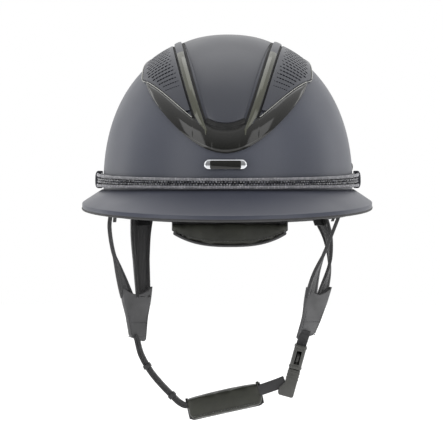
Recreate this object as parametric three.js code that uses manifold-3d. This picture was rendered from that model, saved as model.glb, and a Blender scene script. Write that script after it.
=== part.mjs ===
// Wide-brimmed equestrian riding helmet with its harness and chin strap.
// Millimetres, +Z up. The front of the helmet faces -Y. Left and right are as seen from the front,
// so left is -X. The origin is at the centre of the head opening, level with the seam where the
// brim meets the hat band at the front.
import * as THREE from "three";
import { mergeVertices } from "three/addons/utils/BufferGeometryUtils.js";
import Module from "manifold-3d";

const wasm = await Module();
wasm.setup();

// ---- Driving dimensions ----
const HALF_WIDTH = 102; // outer shell, side to side
const FRONT_LENGTH = 122; // outer shell, centre to front
const REAR_LENGTH = 130; // outer shell, centre to back
const DOME_HEIGHT = 121; // outer shell, widest level to crown
const DOME_POWER = 2.3; // squareness of the dome in side view
const WIDEST_Z = 5; // level where the dome is widest
const RIM_Z = -15.5; // lower rim at the ears
const RIM_SLOPE = 0.06; // fall of the rim towards the back
const GAP = 0.4; // air left between touching pieces
const SEAT = 0.9; // air left under a piece that lies on the faceted dome
const SHELL_WALL = 2.5;
const LINER_WALL = 12;
const LINER_FACE = -SHELL_WALL - GAP - LINER_WALL; // inner face of the liner, out from the shell
const PAD_WALL = 5.4;
const TURN_STEPS = 44; // facets around the dome
const RISE_STEPS = 10; // facets from rim to crown

const BRIM_REACH = 48; // overhang at the front
const BRIM_END = 112; // degrees from the front to where the brim dies out
const BRIM_WALL = 3.4;
const PIPING_RADIUS = 1.2;
const BAND_END = 88; // degrees from the front to the end of the beaded band
const BAND_ROLL_RADIUS = 1.7;
const BAND_FACE = 2.4; // outer face of the band's leather, out from the shell
const RAIL_HALF = 2.2; // half width of a crown rail, in degrees
const RAIL_START = 19.8; // degrees above the front where a rail begins
const RAIL_SPAN = 140; // degrees of rail over the crown

const STRAP_WIDTH = 18;
const STRAP_THICK = 2;
const STRAP_MID_Y = -8;
const CHIN_PIVOT = new THREE.Vector3(-74.2, STRAP_MID_Y, -121.5);
const WEBBING_THICK = 4.4;
const CHIN_PAD = { length: 62, depth: 24, height: 19, tilt: 12.5, x: -2.5, z: -172 };
const SLEEVE_HOLE = { depth: 21, height: 7.6, rise: 3.3 };

const BUCKLE_MOUTH = new THREE.Vector3(54.7, STRAP_MID_Y, -145.3);
const BUCKLE_TILT = 15.5; // degrees from vertical
const SOCKET = { thick: 9.6, width: 25, length: 20, cavity: 5.6, bore: 21.6, depth: 18 };
const TONGUE_THICK = 2.6;

// ---- Colours and finishes ----
const finish = (color, roughness, metalness = 0) =>
  new THREE.MeshStandardMaterial({ color, roughness, metalness });
const NAVY_SHELL = finish(0x3c4152, 0.75);
const NAVY_PANEL = finish(0x343848, 0.5);
const GLOSS_TRIM = finish(0x15160f, 0.12);
const CHROME = finish(0xc8cacc, 0.12, 1);
const LEATHER = finish(0x23252e, 0.5);
const BEADS = finish(0x2a2c36, 0.3);
const WEBBING = finish(0x3a3b3d, 0.85);
const SOFT_BLACK = finish(0x2a2a26, 0.7);
const FOAM = finish(0x1c1c1c, 0.9);
const BUCKLE_PLASTIC = finish(0x38393a, 0.55);

const helmet = new THREE.Group();
const rad = THREE.MathUtils.degToRad;
const mix = THREE.MathUtils.lerp;
const vec = (x, y, z) => new THREE.Vector3(x, y, z);

// ---- Closed bodies ----

// Cuts unused attributes, merges shared corners, drops flat triangles and turns the faces outwards.
function closed(geometry) {
  geometry.deleteAttribute("normal");
  geometry.deleteAttribute("uv");
  const merged = mergeVertices(geometry, 1e-4);
  const index = Array.from(merged.getIndex().array);
  const kept = [];
  for (let i = 0; i < index.length; i += 3) {
    const [a, b, c] = index.slice(i, i + 3);
    if (a !== b && b !== c && a !== c) kept.push(a, b, c);
  }
  merged.setIndex(signedVolume(merged, kept) < 0 ? kept.reverse() : kept);
  merged.computeVertexNormals();
  return merged;
}

// Six times the volume inside the triangles, negative when the faces point inwards.
function signedVolume(geometry, index) {
  const spot = geometry.getAttribute("position");
  const corner = (i) => new THREE.Vector3().fromBufferAttribute(spot, index[i]);
  let total = 0;
  for (let i = 0; i < index.length; i += 3) {
    total += corner(i).dot(corner(i + 1).cross(corner(i + 2)));
  }
  return total;
}

// Bends a unit block: place turns fractions along, across and through it into a point.
function bentBar(along, across, through, place) {
  const bar = new THREE.BoxGeometry(1, 1, 1, along, across, through);
  const spot = bar.getAttribute("position");
  for (let i = 0; i < spot.count; i += 1) {
    const point = place(spot.getX(i) + 0.5, spot.getY(i) + 0.5, spot.getZ(i) + 0.5);
    spot.setXYZ(i, point.x, point.y, point.z);
  }
  return closed(bar);
}

// Sweeps a list of section stations round the dome: place turns an angle and a station into a point.
function swept(stations, place) {
  const outline = stations.map((station, i) => new THREE.Vector2(1 + i, i));
  const ring = new THREE.LatheGeometry(outline, TURN_STEPS);
  const spot = ring.getAttribute("position");
  for (let i = 0; i < spot.count; i += 1) {
    const turn = (360 * Math.floor(i / stations.length)) / TURN_STEPS;
    const point = place(turn % 360, stations[i % stations.length]);
    spot.setXYZ(i, point.x, point.y, point.z);
  }
  return closed(ring);
}

// A round bar of few sides along a smooth curve through the points.
function tube(points, radius, steps, sides) {
  const corner = (i) => rad((360 * i) / sides);
  const section = new THREE.Shape(
    Array.from({ length: sides }, (_, i) =>
      new THREE.Vector2(radius * Math.cos(corner(i)), radius * Math.sin(corner(i)))),
  );
  const extrudePath = new THREE.CatmullRomCurve3(points);
  return closed(new THREE.ExtrudeGeometry(section, { steps, bevelEnabled: false, extrudePath }));
}

function extruded(shape, depth, curveSegments = 6) {
  return closed(new THREE.ExtrudeGeometry(shape, { depth, bevelEnabled: false, curveSegments }));
}

function box(sizeX, sizeY, sizeZ, x, y, z) {
  return closed(new THREE.BoxGeometry(sizeX, sizeY, sizeZ).translate(x, y, z));
}

function toSolid(geometry) {
  const vertProperties = new Float32Array(geometry.getAttribute("position").array);
  const triVerts = new Uint32Array(geometry.getIndex().array);
  return new wasm.Manifold(new wasm.Mesh({ numProp: 3, vertProperties, triVerts }));
}

function toGeometry(solid) {
  const mesh = solid.getMesh();
  const geometry = new THREE.BufferGeometry();
  geometry.setAttribute("position", new THREE.BufferAttribute(mesh.vertProperties, 3));
  geometry.setIndex(new THREE.BufferAttribute(mesh.triVerts, 1));
  return closed(geometry);
}

function carved(geometry, ...cutters) {
  const start = toSolid(geometry);
  return toGeometry(cutters.reduce((solid, cutter) => solid.subtract(toSolid(cutter)), start));
}

function joined(geometry, other) {
  return toGeometry(toSolid(geometry).add(toSolid(other)));
}

function addPiece(name, geometry, material, parent = helmet) {
  const mesh = new THREE.Mesh(geometry, material);
  mesh.name = name;
  parent.add(mesh);
  return mesh;
}

// ---- The dome ----

const lengthTowards = (y, offset) => (y < 0 ? FRONT_LENGTH : REAR_LENGTH) + offset;

// Point on the dome grown by offset, at an angle round from the front and a height.
function aroundShell(turn, z, offset) {
  const rise = Math.abs(z - WIDEST_Z) / (DOME_HEIGHT + offset);
  const plan = (1 - rise ** DOME_POWER) ** (1 / DOME_POWER);
  const forward = -Math.cos(rad(turn));
  const x = (HALF_WIDTH + offset) * plan * Math.sin(rad(turn));
  return vec(x, lengthTowards(forward, offset) * plan * forward, z);
}

// Point where a ray from the dome's centre leaves the dome grown by offset. side is the ray's angle
// towards +X and lift its angle up from the front, over the crown and down to the back.
function onDome(side, lift, offset) {
  const ray = vec(Math.sin(rad(side)), -Math.cos(rad(lift)), Math.sin(rad(lift)));
  ray.y *= Math.cos(rad(side));
  ray.z *= Math.cos(rad(side));
  const plan = Math.hypot(ray.x / (HALF_WIDTH + offset), ray.y / lengthTowards(ray.y, offset));
  const rise = Math.abs(ray.z) / (DOME_HEIGHT + offset);
  const reach = (plan ** DOME_POWER + rise ** DOME_POWER) ** (-1 / DOME_POWER);
  return ray.multiplyScalar(reach).add(vec(0, 0, WIDEST_Z));
}

const rimHeight = (y) => RIM_Z - RIM_SLOPE * y;

// A dome of constant wall between two offsets, open below.
function cup(outer, inner) {
  const lowest = -14;
  const stations = [];
  for (let i = 0; i <= RISE_STEPS; i += 1) {
    stations.push({ latitude: mix(lowest, 90, i / RISE_STEPS), offset: outer });
  }
  for (let i = RISE_STEPS; i >= 0; i -= 1) {
    stations.push({ latitude: mix(lowest, 90, i / RISE_STEPS), offset: inner });
  }
  stations.push(stations[0]);
  const place = (turn, { latitude, offset }) => {
    const sine = Math.sin(rad(latitude));
    const rise = Math.sign(sine) * Math.abs(sine) ** (2 / DOME_POWER);
    return aroundShell(turn, WIDEST_Z + (DOME_HEIGHT + offset) * Math.min(rise, 1), offset);
  };
  return swept(stations, place);
}

// Cuts a dome off along the sloping rim, raised by lift.
function trimmedAtRim(geometry, lift) {
  const block = new THREE.BoxGeometry(400, 400, 100);
  block.translate(0, 0, -50);
  block.rotateX(-Math.atan(RIM_SLOPE));
  block.translate(0, 0, RIM_Z + lift);
  return carved(geometry, closed(block));
}

// ---- Shell, liner and pads ----

function addShell() {
  addPiece("outer_shell", trimmedAtRim(cup(0, -SHELL_WALL), 0), NAVY_SHELL);
  const liner = cup(LINER_FACE + LINER_WALL, LINER_FACE);
  addPiece("impact_liner", trimmedAtRim(liner, 1.5), FOAM);
}

// A ring below the rim that wraps the cut edge of the shell.
function addRimEdging() {
  const inner = -SHELL_WALL - 0.3;
  const outer = 0.6;
  const stations = [[outer, -GAP], [outer, -2.8], [-1.1, -3.6], [inner, -2.8], [inner, -GAP], [outer, -GAP]];
  const place = (turn, [offset, drop]) => {
    const point = aroundShell(turn, RIM_Z, offset);
    return point.setZ(rimHeight(point.y) + drop);
  };
  addPiece("rim_edging", swept(stations, place), SOFT_BLACK);
}

function addHeadband() {
  const outer = LINER_FACE - 1.2;
  const inner = outer - PAD_WALL;
  const top = 18;
  const stations = [
    [outer, 0.05], [outer, 0.95], [inner + 1, 1], [inner, 0.85], [inner, 0.15], [inner + 1, 0],
  ];
  stations.push(stations[0]);
  const place = (turn, [offset, share]) => {
    const foot = rimHeight(aroundShell(turn, 0, offset).y) + 2.5;
    return aroundShell(turn, mix(foot, top, share), offset);
  };
  addPiece("headband_pad", swept(stations, place), SOFT_BLACK);
}

function addCrownPad() {
  const outer = LINER_FACE - SEAT;
  const place = (u, v, w) => onDome(mix(-13, 13, v), mix(58, 122, u), mix(outer - 4.4, outer, w));
  addPiece("crown_pad", bentBar(10, 4, 1, place), SOFT_BLACK);
}

// ---- Crown furniture: panels, rails and the gloss frame ----

// Side angle of a rail's middle line at a lift angle.
function railLine(lift) {
  return 7.6 + 12 * Math.sin((Math.PI * Math.max(lift - 20, 0)) / 150) ** 0.76;
}

const panelFoot = (side) => 22.4 + 0.05 * side ** 2;
const frameArc = (side) => 19.4 + 0.035 * side ** 2;
const frameLower = (side) => 11 + 0.0385 * Math.abs(side) ** 1.95 + 5 * (side / 31.8) ** 14;
const ARC_END = 4.9; // side angle where the arc between the rails ends
const WING_TIP = 32.4; // side angle of the tip of a wing
const WING_ROOT = 12.9; // side angle where a wing leaves its rail

// Upper edge of the gloss frame: the arc between the rails, the rail feet, then the wing.
function frameUpper(side) {
  const away = Math.abs(side);
  if (away < ARC_END) return frameArc(side);
  if (away < WING_ROOT - 0.8) return 18.9;
  const past = away - 11.8;
  return 24.6 + past + 0.02 * past ** 2;
}

function addGlossFrame() {
  const halfStops = [0, 2.2, 4.4, ARC_END - 0.1, ARC_END + 0.2, 9.6, WING_ROOT - 0.9, WING_ROOT];
  halfStops.push(16, 19, 22, 25, 28, 30.2, 31.4, WING_TIP);
  const stops = [...halfStops.slice(1).reverse().map((s) => -s), ...halfStops];
  const place = (u, v, w) => {
    const side = stops[Math.round(u * (stops.length - 1))];
    const lower = frameLower(side);
    const upper = Math.max(frameUpper(side), lower + 0.6);
    return onDome(side, mix(lower, upper, v), mix(SEAT, 2.6, w));
  };
  addPiece("gloss_frame", bentBar(stops.length - 1, 4, 1, place), GLOSS_TRIM);
}

function addCrownPanel() {
  const reach = (lift) => railLine(lift) - RAIL_HALF - 0.5;
  const place = (u, v, w) => {
    const middle = mix(panelFoot(0), 150, u);
    const side = mix(-1, 1, v) * reach(middle);
    return onDome(side, middle + 0.05 * side ** 2 * (1 - 2 * u), mix(SEAT, 2.1, w));
  };
  addPiece("crown_panel", bentBar(24, 6, 1, place), NAVY_PANEL);
}

const GRILLE_REACH = 4.4;

function addIntakeGrille() {
  const place = (u, v, w) => {
    const side = mix(-GRILLE_REACH, GRILLE_REACH, u);
    return onDome(side, mix(frameArc(side) + 0.3, panelFoot(side) - 0.4, v), mix(SEAT, 1.4, w));
  };
  addPiece("intake_grille", bentBar(6, 1, 1, place), FOAM);
}

function addRail(side, label) {
  const line = (lift, v, half) => side * (railLine(lift) + mix(-1, 1, v) * half);
  const rail = (u, v, w) => {
    const lift = RAIL_START + RAIL_SPAN * u;
    return onDome(line(lift, v, RAIL_HALF), lift, mix(SEAT, 3, w));
  };
  addPiece(`rail_${label}`, bentBar(30, 2, 1, rail), NAVY_PANEL);
  const insert = (u, v, w) => {
    const lift = mix(RAIL_START + 0.6, 60, u);
    return onDome(line(lift, v, RAIL_HALF - 0.5), lift, mix(3 + GAP, 4.2, w));
  };
  addPiece(`rail_insert_${label}`, bentBar(10, 1, 1, insert), GLOSS_TRIM);
}

const VENT_START = 28.5;
const VENT_END = 126;
const BEZEL_START = 54.8;
const VENT_REACH = 34.3; // side angle of the vent panel's outer edge

// Outer edge of a vent panel: it follows the wing, rounds its tip, then runs back to the rail.
function ventEdge(lift) {
  const alongWing = 11.2 + (Math.sqrt(1 + 0.08 * (lift - 24.6)) - 1) / 0.04;
  const share = Math.max(0, (lift - 66) / (VENT_END - 66));
  const towardsRear = mix(railLine(VENT_END) + 5, VENT_REACH, Math.cos((share * Math.PI) / 2));
  return Math.min(alongWing, towardsRear);
}

function addVentPanel(side, label) {
  const inner = (lift) => railLine(lift) + RAIL_HALF + 0.5;
  const panel = (u, v, w) => {
    const lift = mix(VENT_START, VENT_END, u);
    return onDome(side * mix(inner(lift), ventEdge(lift), v), lift, mix(SEAT, 2.2, w));
  };
  addPiece(`vent_panel_${label}`, bentBar(20, 5, 1, panel), NAVY_PANEL);
  const bezel = (u, v, w) => {
    const lift = mix(BEZEL_START, VENT_END, u);
    return onDome(side * (ventEdge(lift) + mix(0.3, 1.1, v)), lift, mix(SEAT, 2.8, w));
  };
  addPiece(`vent_bezel_${label}`, bentBar(16, 1, 1, bezel), GLOSS_TRIM);
}

// ---- Nameplate ----

function pill(width, height) {
  const radius = height / 2;
  const straight = width / 2 - radius;
  const shape = new THREE.Shape();
  shape.absarc(straight, 0, radius, -Math.PI / 2, Math.PI / 2);
  shape.absarc(-straight, 0, radius, Math.PI / 2, (3 * Math.PI) / 2);
  return shape;
}

function addNameplate() {
  const plate = new THREE.Group();
  plate.position.set(0, -122.4, 19.6);
  plate.rotation.x = Math.PI / 2;
  helmet.add(plate);
  const pocket = extruded(pill(31, 5.2), 2).translate(0, 0, 1.7);
  addPiece("nameplate", carved(extruded(pill(34, 8.2), 2.5), pocket), CHROME, plate);
  addPiece("nameplate_inlay", extruded(pill(30.2, 4.4), 0.8).translate(0, 0, 2), GLOSS_TRIM, plate);
}

// ---- Brim ----

const brimSeam = (turn) => 1.5 * (turn / 90) ** 2;
const brimReach = (turn) => BRIM_REACH * Math.cos(rad(0.75 * turn)) ** 1.65;
const brimFall = (turn) => 0.43 + 0.2 * (turn / 75) ** 2;

// Point on the top face of the brim, a share of the way out from the shell.
function onBrim(turn, share, extra = 0) {
  const root = aroundShell(turn, brimSeam(turn), SEAT);
  const length = lengthTowards(root.y, 0);
  const outward = vec(root.x / HALF_WIDTH ** 2, root.y / length ** 2, 0).normalize();
  const reach = brimReach(turn);
  const drop = reach * brimFall(turn) * share ** 1.1;
  return root.addScaledVector(outward, reach * share + extra).add(vec(0, 0, -drop));
}

function addBrim() {
  const turnAt = (u) => mix(-BRIM_END, BRIM_END, u);
  const body = (u, v, w) => onBrim(turnAt(u), v).add(vec(0, 0, -BRIM_WALL * (1 - w)));
  addPiece("brim", bentBar(TURN_STEPS, 4, 1, body), NAVY_SHELL);
  const lining = (u, v, w) =>
    onBrim(turnAt(u), mix(0.03, 0.97, v)).add(vec(0, 0, -BRIM_WALL - mix(1.5, 0.3, w)));
  addPiece("brim_lining", bentBar(TURN_STEPS, 3, 1, lining), LEATHER);
  const edge = Array.from({ length: 29 }, (_, i) =>
    onBrim(turnAt(i / 28), 1, PIPING_RADIUS + 0.6).add(vec(0, 0, -BRIM_WALL / 2 - 0.4)));
  addPiece("brim_piping", tube(edge, PIPING_RADIUS, 56, 6), SOFT_BLACK);
}

// ---- Hat band ----

const bandFoot = (turn) => 0.5 + 2.8 * (turn / 90) ** 2;
const bandTop = (turn) => 9.8 + 6.2 * (turn / 90) ** 2;

function bandPath(share, offset) {
  return Array.from({ length: 25 }, (_, i) => {
    const turn = mix(-BAND_END, BAND_END, i / 24);
    return aroundShell(turn, mix(bandFoot(turn), bandTop(turn), share), offset);
  });
}

function addBand() {
  const backing = (u, v, w) => {
    const turn = mix(-BAND_END, BAND_END, u);
    return aroundShell(turn, mix(bandFoot(turn), bandTop(turn), v), mix(SEAT, BAND_FACE, w));
  };
  addPiece("band_backing", bentBar(36, 1, 1, backing), LEATHER);
  const proud = BAND_FACE + SEAT + BAND_ROLL_RADIUS;
  addPiece("band_roll_upper", tube(bandPath(0.82, proud), BAND_ROLL_RADIUS, 48, 6), BEADS);
  addPiece("band_roll_lower", tube(bandPath(0.18, proud), BAND_ROLL_RADIUS, 48, 6), BEADS);
  const beads = (u, v, w) => {
    const turn = mix(-BAND_END, BAND_END, u);
    const z = mix(bandFoot(turn), bandTop(turn), 0.5) + mix(-0.9, 0.9, v);
    return aroundShell(turn, z, mix(BAND_FACE + GAP, 5.6, w));
  };
  addPiece("band_bead_row", bentBar(36, 1, 1, beads), BEADS);
}

function addBandKeeper(side, label) {
  const place = (u, v, w) => {
    const turn = side * mix(BAND_END + 0.5, BAND_END + 3.2, u);
    return aroundShell(turn, mix(bandFoot(90) - 1.2, bandTop(90) + 1.2, v), mix(SEAT, 6.8, w));
  };
  addPiece(`band_keeper_${label}`, bentBar(1, 3, 1, place), SOFT_BLACK);
}

function addRearBand() {
  const place = (u, v, w) => {
    const turn = mix(BAND_END + 3.8, 360 - BAND_END - 3.8, u);
    const fall = 7 * Math.sin(rad(turn - 90)) ** 2;
    return aroundShell(turn, 9 - fall + mix(-4.6, 4.6, v), mix(SEAT, BAND_FACE, w));
  };
  addPiece("rear_band", bentBar(30, 1, 1, place), LEATHER);
}

// A domed rivet cap that stands on the shell behind the keeper.
function addSideRivet(side, label) {
  const radius = 3.7;
  const outline = [[0, 0], [radius, 0], [radius, 1], [radius - 1.2, 2.1], [0, 2.5]];
  const cap = new THREE.LatheGeometry(outline.map(([r, y]) => new THREE.Vector2(r, y)), 16);
  const seat = aroundShell(side * 100, 20, 0.6);
  const outward = vec(seat.x / HALF_WIDTH ** 2, seat.y / REAR_LENGTH ** 2, 0).normalize();
  const mesh = addPiece(`side_rivet_${label}`, closed(cap), SOFT_BLACK);
  mesh.position.copy(seat);
  mesh.quaternion.setFromUnitVectors(vec(0, 1, 0), outward);
}

// ---- Nape cradle ----

const NAPE_SPREAD = 34; // degrees from the back to the end of the nape pad
const NAPE_TOP = -24.8;

function addNape() {
  const edge = (u) => -46 + 12.5 * Math.abs(mix(-1, 1, u)) ** 2.6;
  const curve = (near, far, spread) => (u, v, w) => {
    const turn = mix(180 - spread, 180 + spread, u);
    const foot = edge(u) + (NAPE_SPREAD - spread) * 0.4;
    return aroundShell(turn, -20, mix(near, far, w)).setZ(mix(foot, NAPE_TOP, v));
  };
  addPiece("nape_cradle", bentBar(14, 3, 1, curve(-9, -7.2, NAPE_SPREAD - 2)), BUCKLE_PLASTIC);
  addPiece("nape_pad", bentBar(14, 3, 1, curve(-14.6, -9.4, NAPE_SPREAD)), SOFT_BLACK);
}

// ---- Harness ----

// Flat webbing along a curve. The angles turn its width from +X towards +Y along its length.
function strapFrame(curve, angles, t) {
  const spot = Math.min(t, 0.9999) * (angles.length - 1);
  const step = Math.floor(spot);
  const angle = rad(mix(angles[step], angles[step + 1], spot - step));
  const tangent = curve.getTangent(t);
  const across = vec(Math.cos(angle), Math.sin(angle), 0);
  const normal = tangent.clone().cross(across).normalize();
  return { middle: curve.getPoint(t), across, normal, tangent };
}

function strap({ points, angles, widths, thick = STRAP_THICK, steps = 14 }) {
  const curve = new THREE.CatmullRomCurve3(points);
  const place = (u, v, w) => {
    const { middle, across, normal } = strapFrame(curve, angles, u);
    middle.addScaledVector(across, mix(-0.5, 0.5, v) * mix(widths[0], widths[1], u));
    return middle.addScaledVector(normal, mix(-0.5, 0.5, w) * thick);
  };
  return bentBar(steps, 1, 1, place);
}

const STRAPS = {
  front_strap_left: {
    points: [
      vec(-94.4, -35, -17.8), vec(-95.6, -33, -30), vec(-93.5, -27, -47),
      vec(-89, -21, -63), vec(-83.8, -12, -84),
    ],
    angles: [90, 90, 62],
    widths: [STRAP_WIDTH, 15],
  },
  rear_strap_left: {
    points: [vec(-73.4, 68, -23.2), vec(-73.6, 51, -38), vec(-72.3, 30, -58), vec(-69.6, -3, -84)],
    angles: [35, 45, 50],
    widths: [22, 15],
  },
  front_strap_right: {
    points: [
      vec(91.4, -35, -17.8), vec(88, -32, -27), vec(81, -27, -45),
      vec(72.5, -19, -66), vec(67.6, -13, -84),
    ],
    angles: [90, 90, 75],
    widths: [STRAP_WIDTH, 15],
  },
  rear_strap_right: {
    points: [vec(77, 68, -23.2), vec(82.5, 50, -40), vec(83.5, 28, -61), vec(77.5, 1, -84)],
    angles: [125, 95, 65],
    widths: [20, 15],
  },
};

const TABS = {
  yoke_tab_left: {
    points: [vec(-74.4, -7, -84.7), vec(-74.2, -8, -103), vec(-74.1, -8, -118.4)],
    angles: [30, 40, 52],
    widths: [25, 17],
  },
  yoke_tab_right: {
    points: [vec(73.2, -6, -84.7), vec(69.8, -7.5, -103), vec(66.6, -8, -116.6)],
    angles: [40, 42, 45],
    widths: [22, 18],
  },
};

function addHarness() {
  for (const [name, spec] of Object.entries(STRAPS)) {
    addPiece(name, strap(spec), WEBBING);
    addAnchor(name.replace("strap", "anchor"), spec);
  }
  for (const [name, spec] of Object.entries(TABS)) {
    addPiece(name, strap({ ...spec, thick: 3, steps: 6 }), LEATHER);
  }
}

// The plate under the liner that a strap's upper end is riveted to, on the side of the head.
function addAnchor(name, { points, angles }) {
  const curve = new THREE.CatmullRomCurve3(points);
  const { across, normal, tangent } = strapFrame(curve, angles, 0);
  const towardsHead = normal.clone().setZ(0).normalize();
  if (towardsHead.dot(points[0]) > 0) towardsHead.negate();
  const middle = points[0].clone().addScaledVector(towardsHead, STRAP_THICK / 2 + 2.7);
  const place = (u, v, w) => {
    const point = middle.clone().addScaledVector(across, mix(-6, 6, u));
    point.addScaledVector(tangent, mix(-4.4, 8, v));
    return point.addScaledVector(towardsHead, mix(-1.2, 1.2, w));
  };
  addPiece(name, bentBar(1, 1, 1, place), BUCKLE_PLASTIC);
}

// ---- Chin strap ----

const padTilt = Math.tan(rad(CHIN_PAD.tilt));
const sleeveZ = (x) =>
  CHIN_PAD.z + SLEEVE_HOLE.rise / Math.cos(rad(CHIN_PAD.tilt)) + padTilt * (x - CHIN_PAD.x);

const CHIN_LINE = new THREE.CatmullRomCurve3([
  CHIN_PIVOT,
  vec(-70.8, STRAP_MID_Y, -134),
  vec(-63.5, STRAP_MID_Y, -147),
  vec(-55, STRAP_MID_Y, -157.5),
  vec(-46, STRAP_MID_Y, -166.8),
  vec(-39.4, STRAP_MID_Y, -173),
  vec(-33, STRAP_MID_Y, sleeveZ(-33)),
  vec(-22, STRAP_MID_Y, sleeveZ(-22)),
  vec(0, STRAP_MID_Y, sleeveZ(0)),
  vec(22, STRAP_MID_Y, sleeveZ(22)),
  vec(40.6, STRAP_MID_Y, sleeveZ(40.6)),
]);

function addChinWebbing() {
  const place = (u, v, w) => {
    const { middle, across, normal } = strapFrame(CHIN_LINE, [90, 90], u);
    middle.addScaledVector(across, mix(-0.5, 0.5, v) * STRAP_WIDTH);
    return middle.addScaledVector(normal, mix(-0.5, 0.5, w) * WEBBING_THICK);
  };
  addPiece("chin_webbing", bentBar(40, 1, 1, place), WEBBING);
}

function rectangle(width, height, corner, x = 0, y = 0, outline = new THREE.Shape()) {
  const [w, h] = [width / 2 - corner, height / 2 - corner];
  outline.absarc(x + w, y - h, corner, -Math.PI / 2, 0);
  outline.absarc(x + w, y + h, corner, 0, Math.PI / 2);
  outline.absarc(x - w, y + h, corner, Math.PI / 2, Math.PI);
  outline.absarc(x - w, y - h, corner, Math.PI, (3 * Math.PI) / 2);
  outline.closePath();
  return outline;
}

// An elastic loop round the webbing at a share of its length.
function addWebbingKeeper(name, share) {
  const outline = rectangle(STRAP_WIDTH + 4, WEBBING_THICK + 4, 1.2);
  outline.holes.push(rectangle(STRAP_WIDTH + 1, WEBBING_THICK + 1.2, 0.5, 0, 0, new THREE.Path()));
  const mesh = addPiece(name, extruded(outline, 4, 2).translate(0, 0, -2), SOFT_BLACK);
  const { middle, across, normal, tangent } = strapFrame(CHIN_LINE, [90, 90], share);
  mesh.position.copy(middle);
  mesh.quaternion.setFromRotationMatrix(new THREE.Matrix4().makeBasis(across, normal, tangent));
}

// The chin pad is a sleeve: its section lies across the webbing, which runs through its upper part.
function addChinPad() {
  const outline = rectangle(CHIN_PAD.depth, CHIN_PAD.height, 3.4);
  const { depth, height, rise } = SLEEVE_HOLE;
  outline.holes.push(rectangle(depth, height, 1, 0, rise, new THREE.Path()));
  const sleeve = extruded(outline, CHIN_PAD.length, 4);
  sleeve.translate(0, 0, -CHIN_PAD.length / 2);
  sleeve.applyMatrix4(new THREE.Matrix4().makeBasis(vec(0, 1, 0), vec(0, 0, 1), vec(1, 0, 0)));
  const mesh = addPiece("chin_pad", sleeve, SOFT_BLACK);
  mesh.position.set(CHIN_PAD.x, STRAP_MID_Y, CHIN_PAD.z);
  mesh.rotation.y = -rad(CHIN_PAD.tilt);
}

// ---- Side-release buckle ----
// In the buckle's own frame Z runs up the strap from the socket's mouth, X is its thickness and Y its
// width, so one release arm faces the front and one the back.

const buckle = new THREE.Group();
buckle.position.copy(BUCKLE_MOUTH);
buckle.rotation.y = rad(BUCKLE_TILT);
helmet.add(buckle);

function addSocket() {
  const { thick, width, length, cavity, bore, depth } = SOCKET;
  const outline = rectangle(thick, width, 2);
  const body = extruded(outline, length, 3);
  const hollow = box(cavity, bore, depth + 2, 0, 0, depth / 2 - 1);
  const windows = box(4, width + 4, 11, 0, 0, 9.5);
  addPiece("buckle_socket", carved(body, hollow, windows), BUCKLE_PLASTIC, buckle);
}

// The plug: a body below the socket that flares towards the chin, with a guide tongue.
function addPlug() {
  const side = [
    [-4.8, 0], [4.8, 0], [4.8, -22], [3.6, -23], [-7, -23], [-8.2, -21.5], [-8.2, -17], [-4.8, -12],
  ];
  const outline = new THREE.Shape(side.map(([x, z]) => new THREE.Vector2(x, z - GAP)));
  const body = extruded(outline, SOCKET.width - 1).translate(0, 0, -(SOCKET.width - 1) / 2);
  body.rotateX(Math.PI / 2);
  const tongue = box(TONGUE_THICK, 6, 16, 0, 0, 6);
  addPiece("buckle_plug", joined(body, tongue), BUCKLE_PLASTIC, buckle);
}

// A sprung arm with a thumb pad at its middle, which shows in the socket's window.
function addReleaseArm(side, label) {
  const across = [[6.6, 0.4], [9.2, 0.4], [9.4, 5], [10.3, 6.2], [10.3, 11], [9, 13], [7, 13]];
  const outline = new THREE.Shape(across.map(([y, z]) => new THREE.Vector2(side * y, z)));
  const arm = extruded(outline, TONGUE_THICK).translate(0, 0, -TONGUE_THICK / 2);
  arm.applyMatrix4(new THREE.Matrix4().makeBasis(vec(0, 1, 0), vec(0, 0, 1), vec(1, 0, 0)));
  addPiece(`release_arm_${label}`, arm, BUCKLE_PLASTIC, buckle);
}

// The webbing loop that joins the right yoke tab to the socket.
function addBuckleLoop() {
  const shape = new THREE.Shape([
    [-4.6, 0.4], [4.6, 0.4], [5.6, 2], [5.2, 5], [3.4, 6.6], [-2.6, 6.6], [-5, 5], [-5.6, 2],
  ].map(([x, z]) => new THREE.Vector2(x, z)));
  const loop = extruded(shape, STRAP_WIDTH).translate(0, 0, -STRAP_WIDTH / 2);
  loop.rotateX(Math.PI / 2);
  addPiece("buckle_loop", loop.translate(0, 0, SOCKET.length), WEBBING, buckle);
}

addShell();
addRimEdging();
addHeadband();
addCrownPad();
addGlossFrame();
addCrownPanel();
addIntakeGrille();
for (const [side, label] of [[-1, "left"], [1, "right"]]) {
  addRail(side, label);
  addVentPanel(side, label);
  addBandKeeper(side, label);
  addSideRivet(side, label);
}
addNameplate();
addBrim();
addBand();
addRearBand();
addNape();
addHarness();
addChinWebbing();
addWebbingKeeper("webbing_keeper_upper", 0.16);
addWebbingKeeper("webbing_keeper_lower", 0.375);
addChinPad();
addSocket();
addPlug();
addReleaseArm(-1, "front");
addReleaseArm(1, "back");
addBuckleLoop();

export default helmet;
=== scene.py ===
"""Looks of a wide-brimmed equestrian riding helmet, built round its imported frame.

Sizes are in millimetres and angles in degrees, and meshes are written in metres. The front of
the helmet faces -Y, and left and right are as seen from the front, so left is -X.
"""

import logging
import math
from collections.abc import Callable, Sequence
from dataclasses import dataclass, field
from enum import Enum
from functools import partial

import bmesh
import bpy
import numpy as np
from mathutils import Matrix, Vector


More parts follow.
